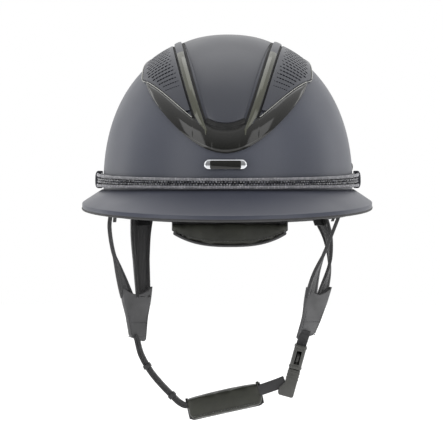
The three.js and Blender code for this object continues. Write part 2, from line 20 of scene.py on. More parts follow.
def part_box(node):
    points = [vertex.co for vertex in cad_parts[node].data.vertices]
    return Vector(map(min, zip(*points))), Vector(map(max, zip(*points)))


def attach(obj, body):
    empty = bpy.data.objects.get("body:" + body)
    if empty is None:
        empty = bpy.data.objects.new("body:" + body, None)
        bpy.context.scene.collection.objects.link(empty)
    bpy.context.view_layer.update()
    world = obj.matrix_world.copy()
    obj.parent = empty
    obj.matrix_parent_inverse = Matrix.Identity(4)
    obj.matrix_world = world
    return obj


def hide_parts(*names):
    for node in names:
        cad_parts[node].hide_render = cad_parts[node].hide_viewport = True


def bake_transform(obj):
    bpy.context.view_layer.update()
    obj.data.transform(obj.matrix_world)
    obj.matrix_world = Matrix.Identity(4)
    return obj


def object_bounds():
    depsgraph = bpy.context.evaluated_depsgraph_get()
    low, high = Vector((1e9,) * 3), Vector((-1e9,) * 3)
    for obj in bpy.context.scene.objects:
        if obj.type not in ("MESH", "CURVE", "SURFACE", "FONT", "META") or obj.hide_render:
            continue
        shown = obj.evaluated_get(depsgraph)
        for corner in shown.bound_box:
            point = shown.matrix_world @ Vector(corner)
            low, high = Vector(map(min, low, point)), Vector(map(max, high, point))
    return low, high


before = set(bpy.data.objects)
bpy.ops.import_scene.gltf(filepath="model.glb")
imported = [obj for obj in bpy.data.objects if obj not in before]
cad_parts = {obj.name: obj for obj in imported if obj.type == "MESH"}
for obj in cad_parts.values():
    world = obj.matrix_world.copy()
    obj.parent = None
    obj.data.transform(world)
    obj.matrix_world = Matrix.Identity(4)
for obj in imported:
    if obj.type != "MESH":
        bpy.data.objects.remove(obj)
CAD_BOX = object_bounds()

MM = 0.001
ROOT = "root"
WHITE = (1.0, 1.0, 1.0, 1.0)
LOG = logging.getLogger("riding_helmet")
Array = np.ndarray
Place = Callable[[Array, Array, float], Array]
Object = bpy.types.Object
Pieces = list[Object]
Socket = bpy.types.NodeSocket
Spot = tuple[float, float, float]


class Hand(Enum):
    """The side of the helmet a piece is on, as seen from the front."""

    LEFT = -1
    RIGHT = 1

    @property
    def label(self) -> str:
        """The side's name as it ends a piece's name."""
        return self.name.lower()


# ---- Forms ----


@dataclass
class Form:
    """A shape before it is a mesh.

    Attributes:
        points: corner points in millimetres, one row each.
        faces: corner numbers of each face.
        threads: millimetres along and across the cloth at each point, for a weave.
    """

    points: Array
    faces: list[tuple[int, ...]]
    threads: Array | None = None

    @staticmethod
    def joined(forms: Sequence["Form"]) -> "Form":
        """Puts separate forms into one.

        Args:
            forms: the forms, all with threads or all without.

        Returns:
            One form that holds them all.
        """
        faces, start = [], 0
        for form in forms:
            faces += [tuple(corner + start for corner in face) for face in form.faces]
            start += len(form.points)
        threads = None
        if forms[0].threads is not None:
            threads = np.concatenate([form.threads for form in forms])
        return Form(np.concatenate([form.points for form in forms]), faces, threads)


def loft(rings: Array, wrap: bool = False, threads: Array | None = None, strips: bool = False) -> Form:
    """Joins a row of closed rings into a skin.

    Args:
        rings: points by ring, then by place in the ring.
        wrap: whether the last ring joins the first, which leaves no caps.
        threads: thread coordinates laid out as the rings are.
        strips: whether a cap is a row of quads, for a ring that runs out and then back beside itself.

    Returns:
        The closed form.
    """
    rows, columns = rings.shape[:2]
    row = np.arange(rows if wrap else rows - 1)[:, None]
    column = np.arange(columns)[None, :]
    after, beside = (row + 1) % rows, (column + 1) % columns
    corners = [(row, column), (row, beside), (after, beside), (after, column)]
    quads = np.stack([ring * columns + place for ring, place in corners], -1)
    faces = [tuple(face) for face in quads.reshape(-1, 4).tolist()]
    last = (rows - 1) * columns
    if strips:
        for i in range(columns // 2 - 1):
            quad = (i, i + 1, columns - 2 - i, columns - 1 - i)
            faces += [quad, tuple(last + corner for corner in reversed(quad))]
    elif not wrap:
        faces += [tuple(reversed(range(columns))), tuple(range(last, last + columns))]
    flat = None if threads is None else threads.reshape(-1, 2)
    return Form(rings.reshape(-1, 3), faces, flat)


def slab(place: Place, along: int, across: int) -> Form:
    """Bends a flat block.

    Args:
        place: turns shares along and across the block and through it into points.
        along: facets along the block.
        across: facets across it.

    Returns:
        The closed form.
    """
    u, v = np.meshgrid(np.linspace(0, 1, along + 1), np.linspace(0, 1, across + 1), indexing="ij")
    return loft(np.concatenate([place(u, v, 1.0), place(u, v, 0.0)[:, ::-1]], axis=1), strips=True)


def mix(low: Array | float, high: Array | float, share: Array | float) -> Array | float:
    """Value a share of the way from low to high."""
    return low + (high - low) * share


def ease(low: float, high: float, value: Array | float) -> Array | float:
    """Rises smoothly from 0 at low to 1 at high."""
    share = np.clip((np.asarray(value, float) - low) / (high - low), 0, 1)
    return share * share * (3 - 2 * share)


def stacked(x: Array | float, y: Array | float, z: Array | float) -> Array:
    """Points from separate coordinates."""
    return np.stack(np.broadcast_arrays(np.asarray(x, float), y, z), -1)


def rounded_section(width: float, height: float, corner: float, steps: int = 3) -> Array:
    """Outline of a rectangle with round corners about the origin.

    Args:
        width: size along the first axis.
        height: size along the second.
        corner: radius of the corners.
        steps: facets in each corner.

    Returns:
        Points of two coordinates, in order round the outline.
    """
    outline = []
    for quarter, (sign_x, sign_y) in enumerate([(1, 1), (-1, 1), (-1, -1), (1, -1)]):
        angles = np.radians(90 * quarter + np.linspace(0, 90, steps + 1))
        centre_x, centre_y = sign_x * (width / 2 - corner), sign_y * (height / 2 - corner)
        outline += [(centre_x + corner * math.cos(a), centre_y + corner * math.sin(a)) for a in angles]
    return np.array(outline)


def travelled(path: Array) -> Array:
    """Length along a path at each of its points."""
    return np.concatenate([[0], np.cumsum(np.linalg.norm(np.diff(path, axis=0), axis=1))])


def smooth_path(points: Sequence[Sequence[float]], count: int) -> Array:
    """Points on a smooth curve through a few chosen ones.

    Args:
        points: the chosen points.
        count: how many points to return, evenly spread along the curve.

    Returns:
        The curve's points.
    """
    knots = np.array(points, float)
    padded = np.vstack([2 * knots[0] - knots[1], knots, 2 * knots[-1] - knots[-2]])
    fine = []
    for before, start, end, after in zip(padded, padded[1:], padded[2:], padded[3:]):
        t = np.linspace(0, 1, 24, endpoint=False)[:, None]
        bend = 2 * before - 5 * start + 4 * end - after
        twist = 3 * start - before - 3 * end + after
        fine.append(start + 0.5 * t * ((end - before) + t * (bend + t * twist)))
    line = np.vstack([*fine, knots[-1:]])
    lengths = travelled(line)
    stops = np.linspace(0, lengths[-1], count)
    return np.stack([np.interp(stops, lengths, line[:, axis]) for axis in range(3)], -1)


def unit(vectors: Array) -> Array:
    """The vectors at length one."""
    return vectors / np.linalg.norm(vectors, axis=-1, keepdims=True)


def swept(path: Array, section: Array, across: Array, wrap: bool = False) -> Form:
    """Carries a section along a path.

    Args:
        path: points of the middle line.
        section: outline points: across the path, then out from it.
        across: direction of the section's first axis, at each path point or for all.
        wrap: whether the path is closed.

    Returns:
        The form, with threads that run along the path.
    """
    tangent = unit(np.gradient(path, axis=0))
    if wrap:
        tangent = unit(np.roll(path, -1, axis=0) - np.roll(path, 1, axis=0))
    side = np.broadcast_to(unit(np.asarray(across, float)), path.shape)
    normal = unit(np.cross(tangent, side))
    rings = path[:, None] + section[None, :, :1] * side[:, None] + section[None, :, 1:] * normal[:, None]
    threads = np.stack(np.broadcast_arrays(travelled(path)[:, None], section[None, :, 0]), -1)
    return loft(rings, wrap, threads)


def round_section(radius: float, sides: int) -> Array:
    """Outline of a round bar."""
    angles = np.linspace(0, 2 * np.pi, sides, endpoint=False)
    return radius * np.stack([np.cos(angles), np.sin(angles)], -1)


@dataclass(frozen=True)
class Dome:
    """The rounded body of the helmet, which every piece on it follows.

    Attributes:
        half_width: from the middle to the widest point at the side.
        front: from the middle to the front.
        rear: from the middle to the back.
        height: from the widest level to the crown.
        power: how square the dome is in side view.
        widest_z: level where it is widest.
        rim_slope: how far the rim falls for each millimetre towards the back.
    """

    half_width: float
    front: float
    rear: float
    height: float
    power: float = 2.2
    widest_z: float = 5.0
    rim_slope: float = 0.06

    @classmethod
    def from_frame(cls) -> "Dome":
        """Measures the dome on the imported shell."""
        low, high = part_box("outer_shell")
        facet_loss = 0.2
        return cls(
            half_width=high.x / MM + facet_loss,
            front=-low.y / MM + facet_loss,
            rear=high.y / MM + facet_loss,
            height=high.z / MM - cls.widest_z,
        )

    @property
    def rim_z(self) -> float:
        """Height of the rim at the ears."""
        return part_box("outer_shell")[0].z / MM + self.rim_slope * self.rear

    def rim(self, y: Array) -> Array:
        """Height of the shell's lower rim at a distance towards the back."""
        return self.rim_z - self.rim_slope * y

    def around(self, turn: Array | float, z: Array | float, offset: Array | float) -> Array:
        """Points on the dome grown by offset.

        Args:
            turn: angle round from the front.
            z: height.
            offset: distance out from the shell's outer face.

        Returns:
            The points.
        """
        rise = np.abs(z - self.widest_z) / (self.height + offset)
        plan = (1 - np.minimum(rise, 1) ** self.power) ** (1 / self.power)
        turn = np.radians(turn)
        length = np.where(np.cos(turn) > 0, self.front, self.rear) + offset
        return stacked((self.half_width + offset) * plan * np.sin(turn), -length * plan * np.cos(turn), z)

    def towards(self, side: Array | float, lift: Array | float, offset: Array | float) -> Array:
        """Points where rays from the dome's centre leave the dome grown by offset.

        Args:
            side: the ray's angle towards +X.
            lift: its angle up from the front, over the crown and down to the back.
            offset: distance out from the shell's outer face.

        Returns:
            The points.
        """
        side, lift = np.radians(side), np.radians(lift)
        ray_x, ray_y = np.sin(side), -np.cos(side) * np.cos(lift)
        ray_z = np.cos(side) * np.sin(lift)
        length = np.where(ray_y < 0, self.front, self.rear) + offset
        plan = np.hypot(ray_x / (self.half_width + offset), ray_y / length)
        rise = np.abs(ray_z) / (self.height + offset)
        reach = (plan**self.power + rise**self.power) ** (-1 / self.power)
        return stacked(ray_x * reach, ray_y * reach, ray_z * reach + self.widest_z)

    def cup(
        self, outer: float, inner: float, lift: float, relief: Callable[[Array, float], Array] | None = None,
        turns: int = 144, rises: int = 44,
    ) -> Form:
        """A dome with a wall, open below, with a rounded rim.

        Args:
            outer: offset of the outer face.
            inner: offset of the inner face.
            lift: how far its rim is above the shell's.
            relief: depth cut into the inner face, by angle and by share of the way from rim to crown.
            turns: facets round it.
            rises: facets from rim to crown.

        Returns:
            The closed form.
        """
        turn = np.linspace(0, 360, turns, endpoint=False)
        pole = 89.5

        def ring(share: float, offset: Array | float, drop: float = 0.0) -> Array:
            """One level ring, share of the way from the rim to the crown."""
            foot = self.rim(self.around(turn, self.rim_z, offset)[:, 1]) + lift - drop
            sine = np.abs(foot - self.widest_z) / (self.height + offset)
            start = -np.degrees(np.arcsin(sine ** (self.power / 2)))
            sine = np.sin(np.radians(mix(start, pole, share)))
            rise = np.sign(sine) * np.abs(sine) ** (2 / self.power)
            return self.around(turn, self.widest_z + (self.height + offset) * rise, offset)

        shares = np.linspace(1, 0, rises + 1)
        rounding = min(1.0, (outer - inner) / 3)
        rings = [ring(share, outer) for share in shares]
        rings += [ring(0, mix(outer, inner, 0.25), rounding * 0.8), ring(0, mix(outer, inner, 0.5), rounding)]
        rings += [ring(0, mix(outer, inner, 0.75), rounding * 0.8)]
        for share in reversed(shares):
            depth = relief(turn, share) if relief else 0.0
            rings.append(ring(share, inner + depth))
        return loft(np.array(rings))


# ---- Finishes ----


def linear(red: int, green: int, blue: int) -> tuple[float, float, float, float]:
    """A colour for a shader from its display values of 0 to 255."""
    parts = [part / 255 for part in (red, green, blue)]
    red, green, blue = (p / 12.92 if p <= 0.04045 else ((p + 0.055) / 1.055) ** 2.4 for p in parts)
    return (red, green, blue, 1.0)


class Nodes:
    """A node tree, with a short way to add to it."""

    def __init__(self, tree: bpy.types.NodeTree) -> None:
        """Takes up the tree."""
        self.tree = tree

    def add(self, kind: str, inputs: dict | None = None, **settings: object) -> bpy.types.Node:
        """Adds a node.

        Args:
            kind: the node's type.
            inputs: values or sockets for its inputs, by name or number.
            settings: its properties.

        Returns:
            The node.
        """
        node = self.tree.nodes.new(kind)
        for key, value in settings.items():
            setattr(node, key, value)
        for key, value in (inputs or {}).items():
            if isinstance(value, Socket):
                self.tree.links.new(value, node.inputs[key])
            else:
                node.inputs[key].default_value = value
        return node


class Board(Nodes):
    """A material's nodes."""

    def __init__(self, name: str, **settings: float | tuple) -> None:
        """Starts a material.

        Args:
            name: the material's name.
            settings: values of the shader's sockets, with underscores for spaces.
        """
        self.material = bpy.data.materials.new(name)
        self.material.use_nodes = True
        super().__init__(self.material.node_tree)
        self.shader = self.tree.nodes["Principled BSDF"]
        self.set(**settings)
        self.place = self.add("ShaderNodeTexCoord").outputs["Object"]

    def set(self, **settings: float | tuple) -> None:
        """Sets sockets of the shader, with underscores for the spaces in their names."""
        for socket, value in settings.items():
            self.shader.inputs[socket.replace("_", " ")].default_value = value

    def noise(self, scale: float, detail: float = 2.0) -> Socket:
        """Soft random values, scale of them to the metre."""
        inputs = {"Vector": self.place, "Scale": scale, "Detail": detail}
        return self.add("ShaderNodeTexNoise", inputs).outputs["Fac"]

    def cells(self, scale: float) -> Socket:
        """Distances in a pattern of cells, scale of them to the metre."""
        return self.add("ShaderNodeTexVoronoi", {"Vector": self.place, "Scale": scale}).outputs["Distance"]

    def maths(self, operation: str, first: object, second: object = 0.0) -> Socket:
        """The result of an operation on one or two values."""
        return self.add("ShaderNodeMath", {0: first, 1: second}, operation=operation).outputs[0]

    def spread(self, value: Socket, low: float, high: float) -> Socket:
        """Stretches the middle of a noise to run from low to high."""
        inputs = {"Value": value, "From Min": 0.3, "From Max": 0.7, "To Min": low, "To Max": high}
        return self.add("ShaderNodeMapRange", inputs).outputs["Result"]

    def colour(self, value: Socket, base: tuple, dark: float, light: float) -> None:
        """Colours the surface by a value, between a darker and a lighter shade of its base colour."""
        blend = self.add("ShaderNodeMix", {"Factor": value}, data_type="RGBA")
        ends = {socket.name: socket for socket in blend.inputs if socket.type == "RGBA"}
        ends["A"].default_value, ends["B"].default_value = shade(base, dark), shade(base, light)
        result = next(socket for socket in blend.outputs if socket.type == "RGBA")
        self.tree.links.new(result, self.shader.inputs["Base Color"])

    def roughness(self, value: Socket) -> None:
        """Sets the roughness by a pattern."""
        self.tree.links.new(value, self.shader.inputs["Roughness"])

    def bump(self, height: Socket, depth_mm: float, strength: float = 1.0) -> None:
        """Raises the surface by a pattern, depth_mm high."""
        inputs = {"Height": height, "Distance": depth_mm * MM, "Strength": strength}
        if self.shader.inputs["Normal"].links:
            inputs["Normal"] = self.shader.inputs["Normal"].links[0].from_socket
        node = self.add("ShaderNodeBump", inputs)
        self.tree.links.new(node.outputs["Normal"], self.shader.inputs["Normal"])


def shade(colour: tuple, factor: float) -> tuple[float, float, float, float]:
    """The colour made lighter or darker."""
    return tuple(min(1.0, part * factor) for part in colour[:3]) + (1.0,)


@dataclass(frozen=True)
class Finish:
    """What a surface is made of.

    Attributes:
        name: the material's name.
        base: its colour.
        rough: its roughness.
        slot: the material slot that it stands for in the record; not used.
    """

    name: str
    base: tuple
    rough: float
    slot: str

    def material(self) -> bpy.types.Material:
        """The finish's material, made the first time that it is asked for."""
        found = bpy.data.materials.get(self.name)
        if found:
            return found
        board = Board(self.name, Base_Color=self.base, Roughness=self.rough)
        self.dress(board)
        return board.material

    def dress(self, board: Board) -> None:
        """Adds the finish's detail to its material."""


@dataclass(frozen=True)
class MattPaint(Finish):
    """Soft-touch paint with a faint fleck and orange peel."""

    peel: float = 0.012

    def dress(self, board: Board) -> None:
        """Adds the fleck, slight wear in the gloss, and the peel."""
        board.set(Specular_IOR_Level=0.42, Sheen_Weight=0.05, Sheen_Roughness=0.35)
        fleck = board.maths("ADD", board.noise(2600, 1), board.spread(board.noise(9, 3), -0.2, 0.2))
        board.colour(board.spread(fleck, 0, 1), self.base, 0.9, 1.1)
        board.roughness(board.spread(board.noise(24, 4), self.rough - 0.04, self.rough + 0.04))
        board.bump(board.noise(1500, 2), self.peel)


@dataclass(frozen=True)
class Lacquer(Finish):
    """Deep gloss lacquer or polished metal."""

    metal: float = 0.0
    coat: float = 0.0

    def dress(self, board: Board) -> None:
        """Adds the metal, the clear coat and faint polishing marks."""
        board.set(Metallic=self.metal, Coat_Weight=self.coat, Coat_Roughness=0.04)
        board.colour(board.spread(board.noise(40, 3), 0, 1), self.base, 0.88, 1.12)
        board.roughness(board.spread(board.noise(160, 3), self.rough * 0.7, self.rough * 1.4))
        board.bump(board.noise(90, 1), 0.02, 0.35)


@dataclass(frozen=True)
class Hide(Finish):
    """Grained leather.

    Attributes:
        grain: cells of grain to the metre.
        depth: depth of the grain in millimetres.
    """

    grain: float = 900.0
    depth: float = 0.05

    def dress(self, board: Board) -> None:
        """Adds the grain, creases between its cells and rubbed places."""
        board.set(Specular_IOR_Level=0.3)
        cells = board.cells(self.grain)
        creases = board.noise(self.grain * 0.35, 4)
        board.colour(board.spread(board.noise(55, 4), 0, 1), self.base, 0.82, 1.25)
        board.roughness(board.spread(board.noise(120, 3), self.rough - 0.1, self.rough + 0.08))
        board.bump(cells, self.depth)
        board.bump(creases, self.depth * 0.6, 0.6)


@dataclass(frozen=True)
class Weave(Finish):
    """Flat woven webbing, which reads millimetres along and across the strap from its threads map.

    Attributes:
        pitch: length of one weft pick.
        cord: width of one warp cord.
    """

    pitch: float = 1.1
    cord: float = 1.6

    def dress(self, board: Board) -> None:
        """Adds picks across the strap and cords along it, offset in alternate cords."""
        board.set(Sheen_Weight=0.25, Specular_IOR_Level=0.3)
        threads = board.add("ShaderNodeUVMap", uv_map="threads").outputs["UV"]
        split = board.add("ShaderNodeSeparateXYZ", {"Vector": threads})
        along = board.maths("MULTIPLY", split.outputs["X"], 2 * math.pi / self.pitch)
        across = board.maths("MULTIPLY", split.outputs["Y"], 2 * math.pi / self.cord)
        shift = board.maths("MULTIPLY", board.maths("SIGN", board.maths("SINE", across)), 0.8)
        picks = board.maths("ABSOLUTE", board.maths("SINE", board.maths("ADD", along, shift)))
        cords = board.maths("ABSOLUTE", board.maths("COSINE", board.maths("MULTIPLY", across, 0.5)))
        height = board.maths("ADD", board.maths("MULTIPLY", picks, 0.6), cords)
        fray = board.noise(1800, 2)
        # The colour follows the weave's height, darker in its low places as painted shade between the
        # threads, with random fray tone on top.
        tone = board.maths("ADD", board.maths("MULTIPLY", height, 0.35), board.maths("MULTIPLY", fray, 0.6))
        board.colour(tone, self.base, 0.6, 1.35)
        board.bump(height, 0.16)
        board.bump(fray, 0.06, 0.5)


@dataclass(frozen=True)
class Cloth(Finish):
    """Knitted or brushed lining fabric.

    Attributes:
        stitches: knit cells to the metre.
    """

    stitches: float = 700.0

    def dress(self, board: Board) -> None:
        """Adds the knit and a soft nap."""
        board.set(Sheen_Weight=0.4, Sheen_Roughness=0.5, Specular_IOR_Level=0.25)
        knit = board.cells(self.stitches)
        board.colour(board.spread(board.noise(300, 4), 0, 1), self.base, 0.75, 1.25)
        board.bump(knit, 0.14)
        board.bump(board.noise(2400, 2), 0.05)


@dataclass(frozen=True)
class Crystal(Finish):
    """Dark faceted stones, some coloured lighter than others as a painted glint."""

    spark: tuple = (0.30, 0.31, 0.36, 1.0)

    def dress(self, board: Board) -> None:
        """Adds the dense gloss and the change from stone to stone, a painted glint that colours some stones
        lighter.
        """
        board.set(IOR=2.0)
        stones = board.add("ShaderNodeTexVoronoi", {"Vector": board.place, "Scale": 620.0})
        value = board.add("ShaderNodeSeparateXYZ", {"Vector": stones.outputs["Color"]}).outputs["X"]
        ramp = board.add("ShaderNodeValToRGB", {"Fac": value})
        # Stones that take the lighter spark colour carry a painted glint.
        for element, place, colour in zip(ramp.color_ramp.elements, (0.45, 0.95), (self.base, self.spark)):
            element.position, element.color = place, colour
        board.tree.links.new(ramp.outputs["Color"], board.shader.inputs["Base Color"])


@dataclass(frozen=True)
class Moulded(Finish):
    """Moulded plastic, rubber or foam with a fine spark-eroded grain.

    Attributes:
        grain: grains to the metre.
        depth: depth of the grain in millimetres.
    """

    grain: float = 1600.0
    depth: float = 0.04

    def dress(self, board: Board) -> None:
        """Adds the grain and handling marks."""
        board.colour(board.spread(board.noise(70, 4), 0, 1), self.base, 0.85, 1.18)
        board.roughness(board.spread(board.noise(200, 3), self.rough - 0.08, self.rough + 0.08))
        board.bump(board.cells(self.grain), self.depth)


SHELL_PAINT = MattPaint("shell_paint", linear(61, 64, 74), 0.4, "navy_shell")
# The brim's paint is the shell's navy made darker: painted shade on the brim.
SHADED_BRIM_PAINT = MattPaint("brim_paint", linear(51, 54, 66), 0.4, "navy_shell")
PANEL_SATIN = MattPaint("panel_satin", linear(53, 55, 62), 0.38, "navy_panel", peel=0.008)
BLACK_LACQUER = Lacquer("black_lacquer", linear(13, 13, 10), 0.1, "gloss_trim", coat=0.1)
STRIP_LACQUER = Lacquer("strip_lacquer", linear(62, 63, 51), 0.16, "gloss_trim", metal=0.3, coat=0.5)
POLISHED_CHROME = Lacquer("polished_chrome", linear(205, 207, 210), 0.08, "chrome_plate", metal=1.0)
BAND_LEATHER = Hide("band_leather", linear(40, 41, 48), 0.42, "trim_leather")
ROLL_LEATHER = Hide("roll_leather", linear(96, 96, 100), 0.45, "crystal_beads", grain=1500)
BRIM_LEATHER = Hide("brim_leather", linear(52, 53, 60), 0.5, "trim_leather", grain=700)
YOKE_LEATHER = Hide("yoke_hide", linear(80, 80, 81), 0.5, "yoke_leather", grain=1100, depth=0.035)
PAD_LEATHER = Hide("pad_hide", linear(46, 47, 41), 0.46, "pad_leather", grain=800)
STONES = Crystal("dark_stones", linear(26, 27, 34), 0.16, "crystal_beads", spark=linear(84, 85, 92))
GRIT = Crystal("pale_grit", linear(124, 124, 128), 0.3, "crystal_beads", spark=linear(196, 196, 200))
STRAP_WEAVE = Weave("strap_weave", linear(50, 50, 51), 0.8, "strap_webbing")
LINING_KNIT = Cloth("lining_knit", linear(40, 40, 43), 0.9, "comfort_fabric")
LINER_FOAM = Moulded("black_foam", linear(34, 34, 35), 0.85, "liner_foam", grain=320, depth=0.25)
EDGE_RUBBER = Moulded("edge_rubber", linear(36, 36, 37), 0.6, "edging_rubber")
BLACK_MOULDING = Moulded("black_moulding", linear(30, 30, 31), 0.5, "moulded_plastic")
# Near-black: painted shade in the gaps beside the rails, in the air intake's slot and in the buckle's middle
# slot.
SHADOW_BLACK = Moulded("shadow_black", linear(10, 10, 10), 0.7, "moulded_plastic", depth=0.01)
# Light grey metal for the vent beads, and for the painted highlight line along each wing's upper edge.
BRIGHT_TRIM_AND_HIGHLIGHT = Lacquer("bright_trim", linear(150, 150, 146), 0.22, "gloss_trim", metal=0.6, coat=0.2)
BUCKLE_MOULDING = Moulded("buckle_moulding", linear(62, 62, 59), 0.42, "moulded_plastic")
THREAD = Cloth("sewing_thread", linear(48, 48, 52), 0.7, "edging_rubber", stitches=2400)


# ---- Making pieces ----


def placed_mesh(
    name: str, points: Array, faces: Sequence[tuple[int, ...]] = (), edges: Sequence[tuple[int, int]] = ()
) -> Object:
    """Makes an object in the scene.

    Args:
        name: its name.
        points: its points in millimetres.
        faces: point numbers of each face.
        edges: point numbers of each loose edge.

    Returns:
        The object.
    """
    mesh = bpy.data.meshes.new(name)
    mesh.from_pydata((points * MM).tolist(), edges, faces)
    obj = bpy.data.objects.new(name, mesh)
    bpy.context.scene.collection.objects.link(obj)
    return obj


def settled(obj: Object) -> Object:
    """Turns an object's live modifiers into its mesh.

    Args:
        obj: the object.

    Returns:
        The same object, with no modifiers.
    """
    bpy.context.view_layer.update()
    depsgraph = bpy.context.evaluated_depsgraph_get()
    evaluated = obj.evaluated_get(depsgraph)
    mesh = bpy.data.meshes.new_from_object(evaluated, preserve_all_data_layers=True, depsgraph=depsgraph)
    obj.modifiers.clear()
    obj.data = mesh
    return obj


def smoothed(obj: Object, angle: float) -> None:
    """Shades an object smooth, apart from edges sharper than an angle."""
    obj.data.polygons.foreach_set("use_smooth", np.ones(len(obj.data.polygons), bool))
    obj.data.set_sharp_from_angle(angle=math.radians(angle))


def tidied(mesh: bpy.types.Mesh, merge: float = 0.002, flat: float = 0.0) -> None:
    """Merges doubled corners and flat neighbours, and points the faces outwards.

    Args:
        mesh: the mesh.
        merge: the distance within which corners are doubled.
        flat: the angle within which neighbours are flat, where they are merged.
    """
    work = bmesh.new()
    work.from_mesh(mesh)
    bmesh.ops.remove_doubles(work, verts=work.verts, dist=merge * MM)
    if flat:
        bmesh.ops.dissolve_limit(work, angle_limit=math.radians(flat), verts=work.verts, edges=work.edges)
    bmesh.ops.recalc_face_normals(work, faces=work.faces)
    work.to_mesh(mesh)
    work.free()


def shaped(
    name: str, form: Form, finish: Finish, bevel: float = 0.0, limit: float = 40.0, sharp: float = 45.0
) -> Object:
    """Makes an object from a form.

    Args:
        name: the piece's name.
        form: its shape.
        finish: its surface.
        bevel: width of the rounding on its edges.
        limit: the least angle of an edge that is rounded.
        sharp: the angle past which an edge is shaded sharp.

    Returns:
        The object, with a plain mesh.
    """
    obj = placed_mesh(name, form.points, form.faces)
    mesh = obj.data
    if form.threads is not None:
        layer = mesh.uv_layers.new(name="threads")
        corners = np.empty(len(mesh.loops), np.int32)
        mesh.loops.foreach_get("vertex_index", corners)
        layer.uv.foreach_set("vector", form.threads[corners].astype(np.float32).ravel())
    tidied(mesh)
    mesh.materials.append(finish.material())
    if bevel:
        rounding = obj.modifiers.new("edge", "BEVEL")
        rounding.width = bevel * MM
        rounding.segments = 3
        rounding.limit_method = "ANGLE"
        rounding.angle_limit = math.radians(limit)
        settled(obj)
    smoothed(obj, sharp)
    return obj


def fitted(
    obj: Object, finish: Finish, body: str = ROOT, nodes: Sequence[str] = ()
) -> Object:
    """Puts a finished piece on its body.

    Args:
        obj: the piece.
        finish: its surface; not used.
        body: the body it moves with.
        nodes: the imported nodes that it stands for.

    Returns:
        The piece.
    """
    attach(obj, body)
    if nodes:
        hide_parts(*nodes)
    LOG.info("%s rides on %s", obj.name, body)
    return obj


def piece(
    name: str, form: Form, finish: Finish, nodes: Sequence[str] = (), body: str = ROOT, **edges: float
) -> Object:
    """Makes a piece from a form and puts it on its body.

    Args:
        name: the piece's name.
        form: its shape.
        finish: its surface.
        nodes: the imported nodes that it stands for.
        body: the body it moves with.
        edges: how shaped rounds and shades its edges.

    Returns:
        The piece.
    """
    return fitted(shaped(name, form, finish, **edges), finish, body, nodes)


def refined(node: str, finish: Finish, body: str = ROOT, bevel: float = 0.5) -> Object:
    """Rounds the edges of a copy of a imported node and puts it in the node's place.

    Args:
        node: the node.
        finish: its surface.
        body: the body it moves with.
        bevel: width of the rounding.

    Returns:
        The piece.
    """
    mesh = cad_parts[node].data.copy()
    tidied(mesh, merge=0.01, flat=2.0)
    points = np.array([v.co for v in mesh.vertices]) / MM
    form = Form(points, [tuple(p.vertices) for p in mesh.polygons])
    bpy.data.meshes.remove(mesh)
    return piece(f"{node}_fine", form, finish, [node], body, bevel=bevel, limit=25.0)


class GeometryTree(Nodes):
    """A geometry node tree with named inputs."""

    def __init__(self, name: str, geometry: str, inputs: dict[str, str]) -> None:
        """Args:
            name: the tree's name.
            geometry: the label of the geometry that it takes.
            inputs: the kind of each further input, by its label, before the finish.
        """
        super().__init__(bpy.data.node_groups.new(name, "GeometryNodeTree"))
        self.sockets: dict[str, str] = {}
        for label, kind in {geometry: "Geometry", **inputs, "Finish": "Material"}.items():
            socket = self.tree.interface.new_socket(label, in_out="INPUT", socket_type=f"NodeSocket{kind}")
            self.sockets[label] = socket.identifier
        self.tree.interface.new_socket("Result", in_out="OUTPUT", socket_type="NodeSocketGeometry")
        self.given = self.add("NodeGroupInput").outputs

    def finish(self, geometry: Socket) -> None:
        """Gives geometry the finish and makes it the tree's result."""
        inputs = {"Geometry": geometry, "Material": self.given["Finish"]}
        self.add("NodeGroupOutput", {"Result": self.add("GeometryNodeSetMaterial", inputs).outputs[0]})

    def applied(self, obj: Object, values: dict[str, object]) -> Object:
        """Runs the tree on an object.

        Args:
            obj: the object.
            values: a value for each of the tree's inputs but its geometry.

        Returns:
            The same object, with the result as its mesh.
        """
        modifier = obj.modifiers.new(self.tree.name, "NODES")
        modifier.node_group = self.tree
        for label, value in values.items():
            modifier[self.sockets[label]] = value
        return settled(obj)


